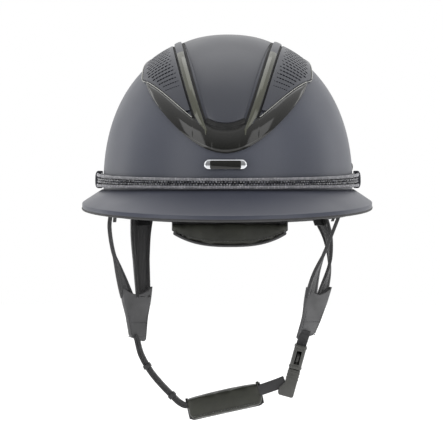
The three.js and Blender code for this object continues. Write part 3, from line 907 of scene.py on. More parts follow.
class RowTree(GeometryTree):
    """A node tree that sets a small shape at even steps along each of an object's lines."""

    def __init__(self, name: str, stitch: bool) -> None:
        """Builds the tree.

        Args:
            name: the tree's name.
            stitch: whether the shape is a stitch, and not a faceted stone.
        """
        numbers = dict.fromkeys(("Step", "Radius", "Stretch", "Turn"), "Float")
        super().__init__(name, "Lines", {**numbers, "Seed": "Int"})
        given = self.given
        curve = self.add("GeometryNodeMeshToCurve", {"Mesh": given["Lines"]})
        spaced = {"Curve": curve.outputs[0], "Length": given["Step"]}
        even = self.add("GeometryNodeResampleCurve", spaced, mode="LENGTH")
        tangent = self.add("GeometryNodeInputTangent")
        aligned = self.add("FunctionNodeAlignRotationToVector", {"Vector": tangent.outputs[0]}, axis="Z")
        spin = self.add("FunctionNodeRandomValue", {"Seed": given["Seed"]}, data_type="FLOAT_VECTOR")
        inputs = {0: spin.outputs[0], "Scale": given["Turn"]}
        turned = self.add("ShaderNodeVectorMath", inputs, operation="SCALE")
        kind, facets = "IcoSphere", {"Subdivisions": 1}
        if stitch:
            kind, facets = "UVSphere", {"Segments": 8, "Rings": 6}
        shape = self.add(f"GeometryNodeMesh{kind}", {**facets, "Radius": given["Radius"]})
        spread = self.add("ShaderNodeCombineXYZ", {"X": 1.0, "Y": 1.0, "Z": given["Stretch"]})
        inputs = {"Points": even.outputs[0], "Instance": shape.outputs["Mesh"]}
        inputs |= {"Rotation": aligned.outputs[0], "Scale": spread.outputs[0]}
        placed = self.add("GeometryNodeInstanceOnPoints", inputs)
        inputs = {"Instances": placed.outputs[0], "Rotation": turned.outputs[0]}
        rolled = self.add("GeometryNodeRotateInstances", inputs)
        real = self.add("GeometryNodeRealizeInstances", {"Geometry": rolled.outputs[0]})
        self.finish(real.outputs[0])

    def row(
        self, name: str, lines: Sequence[Array], finish: Finish, step: float, radius: float,
        stretch: float = 1.0, turn: float = 0.0, seed: int = 7,
    ) -> Object:
        """Sets the shape along lines.

        Args:
            name: the piece's name.
            lines: points of each line.
            finish: the surface of the shapes.
            step: distance from one shape to the next.
            radius: radius of the shape.
            stretch: its length along the line, as a share of its width.
            turn: the most it turns at random, in radians.
            seed: seed of the random turns.

        Returns:
            The object, with a plain mesh.
        """
        edges, start = [], 0
        for line in lines:
            edges += [(start + i, start + i + 1) for i in range(len(line) - 1)]
            start += len(line)
        obj = placed_mesh(name, np.concatenate(lines), edges=edges)
        values = {"Step": step * MM, "Radius": radius * MM, "Stretch": stretch, "Turn": turn, "Seed": seed}
        return self.applied(obj, {**values, "Finish": finish.material()})


class StitchTree(RowTree):
    """A row tree whose shapes are stitches."""

    def sewn(
        self, name: str, lines: Sequence[Array], step: float, radius: float, stretch: float, body: str = ROOT
    ) -> Object:
        """Sews along lines, and puts the stitches on their body.

        Args:
            name: the piece's name.
            lines: points of each line.
            step: distance from one stitch to the next.
            radius: radius of the thread.
            stretch: a stitch's length, as a share of its width.
            body: the body it moves with.

        Returns:
            The piece.
        """
        return fitted(self.row(name, lines, THREAD, step, radius, stretch), THREAD, body)


class HoleTree(GeometryTree):
    """A node tree that cuts oblong holes through a panel, one at each point of another mesh."""

    def __init__(self) -> None:
        """Builds the tree."""
        sizes = dict.fromkeys(("Width", "Length", "Depth"), "Float")
        super().__init__("perforation", "Panel", {"Marks": "Object", **sizes})
        given = self.given
        marks = self.add("GeometryNodeObjectInfo", {"Object": given["Marks"]})
        punch = self.add("GeometryNodeMeshCylinder", {"Vertices": 10, "Radius": 0.5, "Depth": given["Depth"]})
        axes = {"Primary Axis": self.read("outward"), "Secondary Axis": self.read("forward")}
        facing = self.add("FunctionNodeAxesToRotation", axes, primary_axis="Z", secondary_axis="X")
        share = self.read("share", "FLOAT")
        length, width = (
            self.add("ShaderNodeMath", {0: given[label], 1: share}, operation="MULTIPLY").outputs[0]
            for label in ("Length", "Width")
        )
        size = self.add("ShaderNodeCombineXYZ", {"X": length, "Y": width, "Z": 1.0})
        inputs = {"Points": marks.outputs["Geometry"], "Instance": punch.outputs["Mesh"]}
        inputs |= {"Rotation": facing.outputs[0], "Scale": size.outputs[0]}
        placed = self.add("GeometryNodeInstanceOnPoints", inputs)
        real = self.add("GeometryNodeRealizeInstances", {0: placed.outputs[0]})
        inputs = {"Mesh 1": given["Panel"], "Mesh 2": real.outputs[0]}
        cut = self.add("GeometryNodeMeshBoolean", inputs, operation="DIFFERENCE", solver="MANIFOLD")
        self.finish(cut.outputs["Mesh"])

    def read(self, name: str, kind: str = "FLOAT_VECTOR") -> Socket:
        """The socket of a named attribute of the marks."""
        node = self.add("GeometryNodeInputNamedAttribute", {"Name": name}, data_type=kind)
        return node.outputs["Attribute"]

    def cut(
        self, panel: Object, centres: Array, outward: Array, forward: Array, share: Array,
        size: Spot, finish: Finish,
    ) -> None:
        """Cuts the holes.

        Args:
            panel: the panel, a closed mesh.
            centres: the middle of each hole.
            outward: its direction through the panel.
            forward: the direction of its length.
            share: its size, from 0 to 1.
            size: a full hole's length, its width, and how far the punch reaches through.
            finish: the panel's surface.
        """
        marks = placed_mesh("marks", centres)
        for name, vectors in (("outward", outward), ("forward", forward)):
            attribute = marks.data.attributes.new(name, "FLOAT_VECTOR", "POINT")
            attribute.data.foreach_set("vector", vectors.astype(np.float32).ravel())
        attribute = marks.data.attributes.new("share", "FLOAT", "POINT")
        attribute.data.foreach_set("value", share.astype(np.float32))
        values = {label: part * MM for label, part in zip(("Length", "Width", "Depth"), size)}
        self.applied(panel, {**values, "Marks": marks, "Finish": finish.material()})
        bpy.data.objects.remove(marks)


@dataclass(frozen=True)
class Stuffing:
    """How a pad is filled, by a cloth simulation.

    Attributes:
        voxel: size of the cloth's mesh.
        pressure: pressure inside it.
        most: the furthest that a point may move.
        fill: how full it is, from 0 to 1; not used.
    """

    voxel: float = 4.0
    pressure: float = 4.0
    most: float = 2.5
    fill: float = 0.6

    def swell(self, obj: Object) -> Object:
        """Remeshes a pad, swells it and smooths it.

        Args:
            obj: the pad's starting shape.

        Returns:
            The same object, swollen.
        """
        remesh = obj.modifiers.new("cloth_mesh", "REMESH")
        remesh.mode = "VOXEL"
        remesh.voxel_size = self.voxel * MM
        settled(obj)
        self.simulate(obj)
        surface = obj.modifiers.new("surface", "SUBSURF")
        surface.levels = surface.render_levels = 1
        settled(obj)
        smoothed(obj, 180)
        return obj

    def simulate(self, obj: Object) -> None:
        """Runs the cloth simulation and keeps its last shape."""
        rest = np.array([v.co for v in obj.data.vertices])
        cloth = obj.modifiers.new("cloth", "CLOTH")
        cloth.settings.quality = 6
        cloth.settings.mass = 0.3
        cloth.settings.use_pressure = True
        cloth.settings.uniform_pressure_force = self.pressure
        cloth.settings.effector_weights.gravity = 0
        last = 20
        cloth.point_cache.frame_start, cloth.point_cache.frame_end = 1, last
        for number in range(1, last + 1):
            bpy.context.scene.frame_set(number)
        settled(obj)
        moved = np.array([v.co for v in obj.data.vertices]) - rest
        far = np.maximum(np.linalg.norm(moved, axis=1, keepdims=True), 1e-9)
        kept = rest + moved * np.minimum(1, self.most * MM / far)
        obj.data.vertices.foreach_set("co", kept.astype(np.float32).ravel())
        obj.data.update()
        bpy.context.scene.frame_set(1)


# ---- Shell, liner and edging ----


@dataclass
class Assembly:
    """A sub-assembly of the helmet, all of it placed on the dome."""

    dome: Dome

    def build(self) -> Pieces:
        """Makes the sub-assembly's pieces."""
        raise NotImplementedError


@dataclass
class Shell(Assembly):
    """The hard shell, the foam liner inside it and the rubber edging on its rim."""

    wall: float = 2.5
    liner_gap: float = 0.4
    liner_wall: float = 12.0
    liner_lift: float = 1.5
    channels: int = 9
    channel_depth: float = 4.0
    edging_offset: float = -1.1
    edging_drop: float = 2.0
    edging_size: tuple[float, float] = (3.4, 3.2)

    def build(self) -> Pieces:
        """Makes the shell, the liner and the edging."""
        outer = -self.wall - self.liner_gap
        foam = self.dome.cup(outer, outer - self.liner_wall, self.liner_lift, self.channel)
        return [
            piece("shell", self.dome.cup(0, -self.wall, 0), SHELL_PAINT, ["outer_shell"]),
            piece("foam_liner", foam, LINER_FOAM, ["impact_liner"]),
            piece("rim_edge", self.edging(), EDGE_RUBBER, ["rim_edging"]),
        ]

    def channel(self, turn: Array, share: float) -> Array:
        """Depth of the air channels moulded in the liner.

        Args:
            turn: angles round from the front.
            share: share of the way from rim to crown.

        Returns:
            The depth at each angle.
        """
        ridge = (0.5 + 0.5 * np.cos(np.radians(turn) * self.channels)) ** 4
        return self.channel_depth * ridge * ease(0.22, 0.34, share) * (1 - ease(0.8, 0.94, share))

    def edging(self, facets: int = 180) -> Form:
        """The ring of rubber below the rim."""
        turn = np.linspace(0, 360, facets, endpoint=False)[:, None]
        section = rounded_section(*self.edging_size, corner=1.3)
        rings = self.dome.around(turn, self.dome.rim_z, self.edging_offset + section[None, :, 0])
        rings[..., 2] = self.dome.rim(rings[..., 1]) - self.edging_drop + section[None, :, 1]
        return loft(rings, wrap=True)


# ---- Crown panel, rails and vents ----


@dataclass
class Rails(Assembly):
    """The two rails over the crown, with a faceted gloss strip on each, and the panel between."""

    start: float = 19.8
    end: float = 159.8
    strip_end: float = 62.0
    half: float = 1.4
    slot_half: float = 2.25
    seat: float = 0.9
    height: float = 3.0
    panel_top: float = 2.1
    panel_end: float = 150.0
    strip_top: float = 4.1

    def line(self, lift: Array | float) -> Array | float:
        """Side angle of a rail's middle line at a lift angle."""
        return 7.6 + 12 * np.sin(np.pi * np.maximum(lift - 20, 0) / 150) ** 0.76

    def taper(self, lift: Array) -> Array:
        """Share of its full width that a rail has at a lift angle, which falls to nothing at its foot."""
        return 0.12 + 0.88 * ease(self.start - 1.5, self.start + 5, lift)

    def build(self) -> Pieces:
        """Makes the panel, the rails, the near-black sheets of painted shade in the gaps beside them, and the
        strips.
        """
        cover = slab(self.panel_place, 90, 28)
        pieces = [piece("crown_cover", cover, PANEL_SATIN, ["crown_panel"], bevel=0.5)]
        for hand in Hand:
            rail = slab(partial(self.rail_place, hand), 110, 8)
            shade_gap = slab(partial(self.gutter_place, hand), 110, 22)
            strip = slab(partial(self.strip_place, hand), 60, 4)
            side = hand.label
            pieces += [
                piece(f"rail_body_{side}", rail, PANEL_SATIN, [f"rail_{side}"], bevel=0.35),
                piece(f"rail_gutter_{side}", shade_gap, SHADOW_BLACK),
            ]
            node = f"rail_insert_{side}"
            pieces.append(piece(f"rail_strip_{side}", strip, STRIP_LACQUER, [node], bevel=0.18, sharp=12))
        return pieces

    def panel_place(self, u: Array, v: Array, w: float) -> Array:
        """Places the crown panel between the rails."""
        middle = mix(22.4, self.panel_end, u)
        side = mix(-1, 1, v) * (self.line(middle) - self.slot_half)
        top = self.panel_top - 1.0 * np.abs(mix(-1, 1, v)) ** 3
        return self.dome.towards(side, middle + 0.05 * side**2 * (1 - 2 * u), mix(0.5, top, w))

    def rail_place(self, hand: Hand, u: Array, v: Array, w: float) -> Array:
        """Places a rail, which is highest along its middle and falls at its ends."""
        lift, across = mix(self.start, self.end, u), mix(-1, 1, v)
        ends = ease(0, 0.03, u) * (1 - ease(0.95, 1, u))
        top = self.panel_top + (self.height - self.panel_top) * (1 - 0.5 * across**4) * ends
        side = hand.value * (self.line(lift) + across * self.half * self.taper(lift))
        return self.dome.towards(side, lift, mix(self.seat, top, w))

    def gutter_place(self, hand: Hand, u: Array, v: Array, w: float) -> Array:
        """Places the near-black sheet of painted shade in the gap that a rail stands in, with a fine bead
        along its outer side.
        """
        lift, across = mix(self.start - 0.2, self.end, u), mix(-1, 1, v)
        bead = 0.5 * np.exp(-(((across - 0.9) / 0.07) ** 2))
        side = hand.value * (self.line(lift) + across * (self.slot_half + 0.05) * self.taper(lift))
        return self.dome.towards(side, lift, mix(0.2, 1.15 + bead, w))

    def strip_place(self, hand: Hand, u: Array, v: Array, w: float) -> Array:
        """Places the faceted strip on a rail, cut to a point at its foot."""
        lift, across = mix(self.start - 2.2, self.strip_end, u), mix(-1, 1, v)
        width = (self.half - 0.08) * ease(-0.06, 0.2, u)
        facet = np.interp(across, [-1, -0.25, 1], [0.1, 1, 0.25])
        top = mix(self.height + 0.1, self.strip_top, facet)
        side = hand.value * (self.line(lift) + across * width - 0.5 * (1 - ease(0, 0.2, u)))
        return self.dome.towards(side, lift, mix(self.height - 0.5, top, w))


@dataclass
class Vents(Assembly):
    """The perforated panels outside the rails and the bright beads along their outer edges."""

    rails: Rails
    holes: HoleTree
    start: float = 28.5
    end: float = 126.0
    reach: float = 34.3
    top: float = 2.2
    bezel_start: float = 54.8
    bezel_top: float = 2.9
    hole_length: float = 3.1
    hole_width: float = 2.3
    hole_rows: int = 32
    hole_columns: int = 7

    def edge(self, lift: Array) -> Array:
        """Side angle of a panel's outer edge at a lift angle."""
        along_wing = 11.2 + (np.sqrt(1 + 0.08 * (lift - 24.6)) - 1) / 0.04
        share = np.maximum(0, (lift - 66) / (self.end - 66))
        to_rear = mix(self.rails.line(self.end) + 5, self.reach, np.cos(share * np.pi / 2))
        return np.minimum(along_wing, to_rear)

    def inner(self, lift: Array) -> Array:
        """Side angle of a panel's inner edge at a lift angle."""
        return self.rails.line(lift) + self.rails.slot_half

    def build(self) -> Pieces:
        """Makes both panels, cuts their holes and makes the beads."""
        pieces = []
        for hand in Hand:
            side = hand.label
            cover = slab(partial(self.panel_place, hand), 80, 20)
            panel = shaped(f"vent_cover_{side}", cover, PANEL_SATIN, bevel=0.4)
            self.perforate(panel, hand)
            bead = slab(partial(self.bead_place, hand), 80, 6)
            pieces += [
                fitted(panel, PANEL_SATIN, nodes=[f"vent_panel_{side}"]),
                piece(f"vent_bead_{side}", bead, BRIGHT_TRIM_AND_HIGHLIGHT, [f"vent_bezel_{side}"], bevel=0.15),
            ]
        return pieces

    def panel_place(self, hand: Hand, u: Array, v: Array, w: float) -> Array:
        """Places a vent panel, which rises to a border along its outer edge."""
        lift = mix(self.start, self.end, u)
        border = 0.45 * ease(0.9, 0.97, v) * ease(0.05, 0.3, u)
        side = hand.value * mix(self.inner(lift), self.edge(lift), v)
        return self.dome.towards(side, lift, mix(self.rails.seat, self.top + border, w))

    def bead_place(self, hand: Hand, u: Array, v: Array, w: float) -> Array:
        """Places the round-topped bead outside a vent panel."""
        lift, thin = mix(self.bezel_start, self.end, u), ease(0, 0.1, u)
        side = hand.value * (self.edge(lift) + 0.35 + 0.5 * v * mix(0.4, 1, thin))
        top = mix(1.6, self.bezel_top, thin) - 0.7 * mix(-1, 1, v) ** 2
        return self.dome.towards(side, lift, mix(self.rails.seat, top, w))

    def perforate(self, panel: Object, hand: Hand) -> None:
        """Cuts staggered rows of oblong holes that shrink towards the front and the rail."""
        rows, columns = np.arange(self.hole_rows), np.arange(self.hole_columns)
        row, column = np.meshgrid(rows, columns, indexing="ij")
        u = mix(0.1, 0.93, row / (self.hole_rows - 1)).ravel()
        v = mix(0.14, 0.84, (column + 0.5 * (row % 2)) / (self.hole_columns - 0.5)).ravel()
        lift = mix(self.start, self.end, u)
        width = self.edge(lift) - self.inner(lift)
        share = ease(-0.02, 0.28, u) * ease(-0.1, 0.3, v) * ease(3, 9, width)
        keep = share > 0.36
        side = hand.value * mix(self.inner(lift), self.edge(lift), v)
        lift, side, share = lift[keep], side[keep], share[keep]
        centre = self.dome.towards(side, lift, 1.6)
        outward = unit(self.dome.towards(side, lift, 2.6) - centre)
        forward = unit(self.dome.towards(side + 0.1, lift, 1.6) - centre)
        size = (self.hole_length, self.hole_width, 4.0)
        self.holes.cut(panel, centre, outward, forward, share, size, PANEL_SATIN)
        smoothed(panel, 35)


# ---- Gloss frame, grille and nameplate ----


def pill(width: float, height: float, steps: int = 24) -> Array:
    """Outline of a bar with round ends, about the origin."""
    angles = np.radians(np.linspace(-90, 90, steps))
    cap = height / 2 * np.stack([np.cos(angles), np.sin(angles)], -1) + [width / 2 - height / 2, 0]
    return np.concatenate([cap, -cap])


def domed_plate(
    outline: Callable[[float], Array], stations: Sequence[tuple[float, float]], place: Matrix
) -> Form:
    """Stacks an outline at changing insets and heights.

    Args:
        outline: gives the outline's points at an inset.
        stations: inset and height of each level, from the back face to the front.
        place: where the plate goes, in millimetres, with its face towards +Z.

    Returns:
        The closed form.
    """
    rings = []
    for inset, height in stations:
        flat = outline(inset)
        rings.append(np.column_stack([flat, np.full(len(flat), height)]))
    turned = np.array(rings) @ np.array(place.to_3x3()).T + np.array(place.translation)
    return loft(turned)


@dataclass
class GlossFrame(Assembly):
    """The lacquered arch and wings on the forehead, the air intake above the arch, and the nameplate."""

    arc_end: float = 4.9
    wing_root: float = 12.1
    wing_tip: float = 32.4
    seat: float = 0.9
    edge_top: float = 2.0
    middle_top: float = 3.1
    plate_size: tuple[float, float] = (34.0, 8.2)
    plate_thick: float = 2.5
    plate_z: float = 19.6
    label_size: tuple[float, float] = (24.5, 6.8)

    def lower(self, side: Array) -> Array:
        """Lift angle of the frame's lower edge."""
        return 11 + 0.0385 * np.abs(side) ** 1.95 + 5 * (side / 31.8) ** 14

    def upper(self, side: Array) -> Array:
        """Lift angle of its upper edge: the arch, the rail feet, then the wing."""
        away = np.abs(side)
        past = away - 11.8
        arch = 19.4 + 0.035 * side**2
        wing = 24.6 + past + 0.02 * past**2
        under_rail = mix(20.4, 25.2, (away - self.arc_end) / (self.wing_root - self.arc_end))
        edge = np.where(away < self.arc_end, arch, np.where(away < self.wing_root, under_rail, wing))
        return np.maximum(edge, self.lower(side) + 0.6)

    def build(self) -> Pieces:
        """Makes the frame, the grille and the nameplate."""
        step = 0.02
        spans = [(0, self.arc_end - step, 28), (self.arc_end, self.wing_root - step, 20)]
        half = np.concatenate([np.linspace(*span) for span in (*spans, (self.wing_root, self.wing_tip, 64))])
        stops = np.concatenate([-half[:0:-1], half])
        arch = slab(partial(self.place, stops), len(stops) - 1, 20)
        return [
            piece("gloss_arch", arch, BLACK_LACQUER, ["gloss_frame"], bevel=0.3, sharp=35),
            piece("air_intake", slab(self.grille_place, 40, 24), SHADOW_BLACK, ["intake_grille"]),
            *(self.edge_line(hand) for hand in Hand),
            *self.nameplate(),
        ]

    def place(self, stops: Array, u: Array, v: Array, w: float) -> Array:
        """Places the frame's surface: a bright sill round its edge, then a pillow within."""
        side = np.interp(u, np.linspace(0, 1, len(stops)), stops)
        lift = mix(self.lower(side), self.upper(side), v)
        span = np.maximum(self.upper(side) - self.lower(side), 0.6)
        sill = np.minimum(v, 1 - v) * span
        pillow = (self.middle_top - self.edge_top) * np.sin(np.pi * v) * np.minimum(1, span / 5)
        groove = 0.25 * np.exp(-(((sill - 0.4) / 0.18) ** 2))
        return self.dome.towards(side, lift, mix(self.seat, self.edge_top + pillow - groove, w))

    def edge_line(self, hand: Hand) -> Object:
        """Makes the fine bright line along the upper edge of a wing, a painted highlight where that edge
        catches the light.
        """
        side = np.linspace(self.wing_root + 0.3, self.wing_tip - 0.2, 60)
        path = self.dome.towards(hand.value * side, self.upper(side) + 0.1, 2.35)
        outward = unit(self.dome.towards(hand.value * side, self.upper(side), 4) - path)
        return piece(f"wing_line_{hand.label}", swept(path, round_section(0.38, 10), outward), BRIGHT_TRIM_AND_HIGHLIGHT)

    def grille_place(self, u: Array, v: Array, w: float) -> Array:
        """Places the intake, near-black for its dark grille and for painted shade in its deep slot: a dark
        step, a fine rib, then the deep slot under the panel.
        """
        side = mix(-self.arc_end - 2.1, self.arc_end + 2.1, u)
        lift = mix(19.5 + 0.035 * side**2, 22.3 + 0.05 * side**2, v)
        rib = 0.9 * np.exp(-(((v - 0.42) / 0.09) ** 2))
        return self.dome.towards(side, lift, mix(0.2, 1.0 + rib, w))

    def nameplate(self) -> Pieces:
        """Makes the chrome plate and its dark label, which has no lettering."""
        back = -self.dome.front - 0.4
        place = Matrix.Translation((0, back, self.plate_z)) @ Matrix.Rotation(math.pi / 2, 4, "X")
        plate_size, label_size, thick = np.array(self.plate_size), np.array(self.label_size), self.plate_thick
        stations = [(0, 0), (0, thick - 1), (0.25, thick - 0.45), (0.7, thick - 0.15), (1.4, thick)]
        plate = domed_plate(lambda inset: pill(*(plate_size - 2 * inset)), stations, place)
        levels = [(0, thick - 0.4), (0, thick + 0.05), (0.35, thick + 0.2)]
        dark = domed_plate(lambda inset: rounded_section(*(label_size - 2 * inset), 1.2, 5), levels, place)
        return [
            piece("nameplate_chrome", plate, POLISHED_CHROME, ["nameplate"], sharp=60),
            piece("nameplate_label", dark, BLACK_LACQUER, ["nameplate_inlay"], sharp=60),
        ]


# ---- Brim ----


@dataclass
class Brim(Assembly):
    """The wide brim, its leather lining, the piping on its edge and the sewing of the lining."""

    stitches: StitchTree
    end: float = 112.0
    reach: float = 48.0
    wall: float = 3.4
    piping: float = 1.1
    seat: float = 0.9

    def point(self, turn: Array, share: Array | float, extra: Array | float = 0.0) -> Array:
        """Points on the brim's top face.

        Args:
            turn: angle round from the front.
            share: share of the way out from the shell.
            extra: distance added outwards.

        Returns:
            The points.
        """
        root = self.dome.around(turn, 1.5 * (turn / 90) ** 2, self.seat)
        length = np.where(root[..., 1] < 0, self.dome.front, self.dome.rear)
        outward = unit(stacked(root[..., 0] / self.dome.half_width**2, root[..., 1] / length**2, 0))
        reach = self.reach * np.cos(np.radians(0.75 * turn)) ** 1.65
        fall = 0.43 + 0.13 * (turn / 75) ** 4
        point = root + outward * (reach * share + extra)[..., None]
        point[..., 2] -= reach * fall * share**1.1
        return point

    def build(self) -> Pieces:
        """Makes the brim, the lining, the piping and the stitches."""
        turn = np.linspace(-self.end, self.end, 200)
        edge = self.point(turn, np.ones_like(turn), np.full_like(turn, -0.7))
        edge[:, 2] -= self.wall + 0.5
        piping = swept(edge, round_section(self.piping, 14), (0, 0, 1))
        rows = []
        for share in (0.12, 0.9):
            row = self.point(turn[6:-6], np.full(len(turn) - 12, share))
            row[:, 2] -= self.wall + 1.55
            rows.append(row)
        lining = slab(self.lining_place, 180, 14)
        return [
            piece("brim_body", slab(self.body_place, 180, 20), SHADED_BRIM_PAINT, ["brim"], bevel=1.1),
            piece("brim_underside", lining, BRIM_LEATHER, ["brim_lining"], bevel=0.5),
            piece("brim_edge", piping, EDGE_RUBBER, ["brim_piping"]),
            self.stitches.sewn("brim_stitches", rows, 3.2, 0.34, 3.2),
        ]

    def body_place(self, u: Array, v: Array, w: float) -> Array:
        """Places the brim's body."""
        point = self.point(mix(-self.end, self.end, u), v)
        point[..., 2] -= self.wall * (1 - w)
        return point

    def lining_place(self, u: Array, v: Array, w: float) -> Array:
        """Places the lining under the brim."""
        point = self.point(mix(-self.end, self.end, u), mix(0.02, 0.98, v))
        point[..., 2] -= self.wall + mix(1.5, 0.1, w)
        return point


# ---- Hat band ----


@dataclass
class HatBand(Assembly):
    """The beaded band round the foot of the shell, its keepers, the plain rear band and the side rivets."""

    stones: RowTree
    stitches: StitchTree
    end: float = 88.0
    face: float = 2.4
    seat: float = 0.9
    roll: float = 1.25
    rivet_turn: float = 100.0
    rivet_z: float = 20.0
    rivet_profile: tuple[tuple[float, float], ...] = (
        (3.7, 0), (3.7, 1), (3.3, 1.6), (2.4, 2.1), (1.2, 2.4), (0.05, 2.5),
    )

    def foot(self, turn: Array | float) -> Array | float:
        """Height of the band's lower edge."""
        return 0.8 + 2.7 * (turn / 90) ** 2

    def top(self, turn: Array | float) -> Array | float:
        """Height of its upper edge."""
        return 9.0 + 6.4 * (turn / 90) ** 2

    def path(self, share: float, offset: float, rise: float = 0.0, shift: float = 0.0) -> Array:
        """A line along the band.

        Args:
            share: share of the way from its lower edge to its upper.
            offset: distance out from the shell.
            rise: height added.
            shift: degrees the line is moved round.

        Returns:
            The line's points.
        """
        turn = np.linspace(-self.end, self.end, 240) + shift
        return self.dome.around(turn, mix(self.foot(turn), self.top(turn), share) + rise, offset)

    def build(self) -> Pieces:
        """Makes the band's pieces."""
        backing = slab(self.backing_place, 160, 8)
        pieces = [piece("band_strip", backing, BAND_LEATHER, ["band_backing"], bevel=0.4)]
        proud = self.face + 1.2 + self.roll * 0.6
        for name, share in (("lower", 0.13), ("upper", 0.87)):
            roll = swept(self.path(share, proud), round_section(self.roll, 16) * [1, 0.85], (0, 0, 1))
            pieces.append(piece(f"band_piping_{name}", roll, ROLL_LEATHER, [f"band_roll_{name}"]))
        pieces.append(fitted(self.grit(proud), GRIT))
        pieces.append(fitted(self.beads(), STONES, nodes=["band_bead_row"]))
        for hand in Hand:
            keeper, side = slab(partial(self.keeper_place, hand), 8, 16), hand.label
            pieces.append(piece(f"band_end_{side}", keeper, BAND_LEATHER, [f"band_keeper_{side}"], bevel=1.0))
            pieces.append(self.rivet(hand))
        rear = slab(self.rear_place, 160, 8)
        pieces.append(piece("band_rear_strip", rear, BAND_LEATHER, ["rear_band"], bevel=0.4))
        turn = np.linspace(self.end + 5, 355 - self.end, 200)
        rows = [self.dome.around(turn, self.rear_z(turn) + rise, self.face + 0.1) for rise in (-3.6, 3.6)]
        pieces.append(self.stitches.sewn("band_stitches", rows, 2.8, 0.28, 3.0))
        return pieces

    def grit(self, proud: float) -> Object:
        """Covers the outer faces of both rolls in small stones, in three lines each."""
        lines = []
        for share in (0.13, 0.87):
            for number, angle in enumerate(np.radians([-42, 0, 42])):
                out = proud + self.roll * 0.85 * math.cos(angle)
                lines.append(self.path(share, out, self.roll * math.sin(angle), shift=0.35 * (number % 2)))
        return self.stones.row("band_grit", lines, GRIT, step=1.25, radius=0.36, turn=6.0, seed=11)

    def beads(self) -> Object:
        """Makes the twisted double row of beads between the rolls."""
        lines = [self.path(0.5, self.face + 1.5, *place) for place in ((1.05, 0.0), (-1.05, 0.6))]
        return self.stones.row("band_beads", lines, STONES, 2.4, 1.25, 0.85, turn=6.0, seed=23)

    def backing_place(self, u: Array, v: Array, w: float) -> Array:
        """Places the band's leather backing."""
        turn = mix(-self.end, self.end, u)
        return self.dome.around(turn, mix(self.foot(turn), self.top(turn), v), mix(self.seat, self.face, w))

    def keeper_place(self, hand: Hand, u: Array, v: Array, w: float) -> Array:
        """Places the leather loop over an end of the band."""
        turn = hand.value * mix(self.end - 0.4, self.end + 3.4, u)
        z = mix(self.foot(90) - 1.2, self.top(90) + 1.2, v)
        return self.dome.around(turn, z, mix(self.seat, 6.8 - 1.6 * mix(-1, 1, v) ** 4, w))

    def rear_z(self, turn: Array) -> Array:
        """Height of the rear band's middle line."""
        return 9 - 7 * np.sin(np.radians(turn - 90)) ** 2

    def rear_place(self, u: Array, v: Array, w: float) -> Array:
        """Places the plain band round the back."""
        turn = mix(self.end + 3.6, 360 - self.end - 3.6, u)
        return self.dome.around(turn, self.rear_z(turn) + mix(-4.6, 4.6, v), mix(self.seat, self.face, w))

    def rivet(self, hand: Hand) -> Object:
        """Makes the domed rivet behind a keeper."""
        seat = self.dome.around(hand.value * self.rivet_turn, self.rivet_z, 0.3)
        axis = Vector(seat) - Vector((0, 0, self.rivet_z))
        axis = Vector((axis.x / self.dome.half_width**2, axis.y / self.dome.rear**2, 0)).normalized()
        place = Matrix.Translation(seat) @ axis.to_track_quat("Z", "Y").to_matrix().to_4x4()
        widest = self.rivet_profile[0][0]
        stations = [(widest - radius, height) for radius, height in self.rivet_profile]
        cap = domed_plate(lambda inset: round_section(widest - inset, 32), stations, place)
        side = hand.label
        return piece(f"shell_rivet_{side}", cap, BLACK_MOULDING, [f"side_rivet_{side}"], sharp=50)


# ---- Comfort lining and nape cradle ----


@dataclass
class ComfortLining(Assembly):
    """The padded headband and the pad under the crown, both swollen as cloth, the headband then quilted."""

    face: float = -14.9
    band_gap: float = 1.6
    band_wall: float = 4.6
    band_top: float = 17.5
    crown_side: float = 12.5
    crown_lift: tuple[float, float] = (59.0, 121.0)
    quilts: int = 16

    def build(self) -> Pieces:
        """Makes the headband and the crown pad."""
        filling = Stuffing(most=1.2, fill=0.5)
        band = filling.swell(shaped("headband_cushion", self.band_form(), LINING_KNIT))
        self.quilt(band)
        crown = filling.swell(shaped("crown_cushion", slab(self.crown_place, 30, 14), LINING_KNIT))
        return [
            fitted(band, LINING_KNIT, nodes=["headband_pad"]),
            fitted(crown, LINING_KNIT, nodes=["crown_pad"]),
        ]

    def band_form(self, facets: int = 120) -> Form:
        """The headband before it swells, a ring with a rounded section."""
        turn = np.linspace(0, 360, facets, endpoint=False)[:, None]
        outer = self.face - self.band_gap
        section = rounded_section(self.band_wall, 1.0, 0.45, 2)
        offset = outer - self.band_wall / 2 + section[None, :, 0]
        foot = self.dome.rim(self.dome.around(turn, 0, outer)[..., 1]) + 3.2
        height = mix(foot, self.band_top, section[None, :, 1] + 0.5)
        return loft(self.dome.around(turn, height, offset), wrap=True)

    def quilt(self, obj: Object) -> None:
        """Presses sewn channels into the headband's inner face."""
        for vertex in obj.data.vertices:
            x, y = vertex.co.x, vertex.co.y
            angle = math.atan2(x, -y) * self.quilts / 2
            from_seam = abs(math.sin(angle)) * 2 / self.quilts * math.hypot(x, y) / MM
            inward = -Vector((x, y, 0)).normalized()
            if vertex.normal.dot(inward) > 0.3:
                vertex.co -= inward * (1.5 * math.exp(-((from_seam / 2.6) ** 2)) * MM)
        obj.data.update()

    def crown_place(self, u: Array, v: Array, w: float) -> Array:
        """Places the crown pad before it swells."""
        side = mix(-self.crown_side, self.crown_side, v)
        outer = self.face - 1.5
        return self.dome.towards(side, mix(*self.crown_lift, u), mix(outer - 3.4, outer, w))


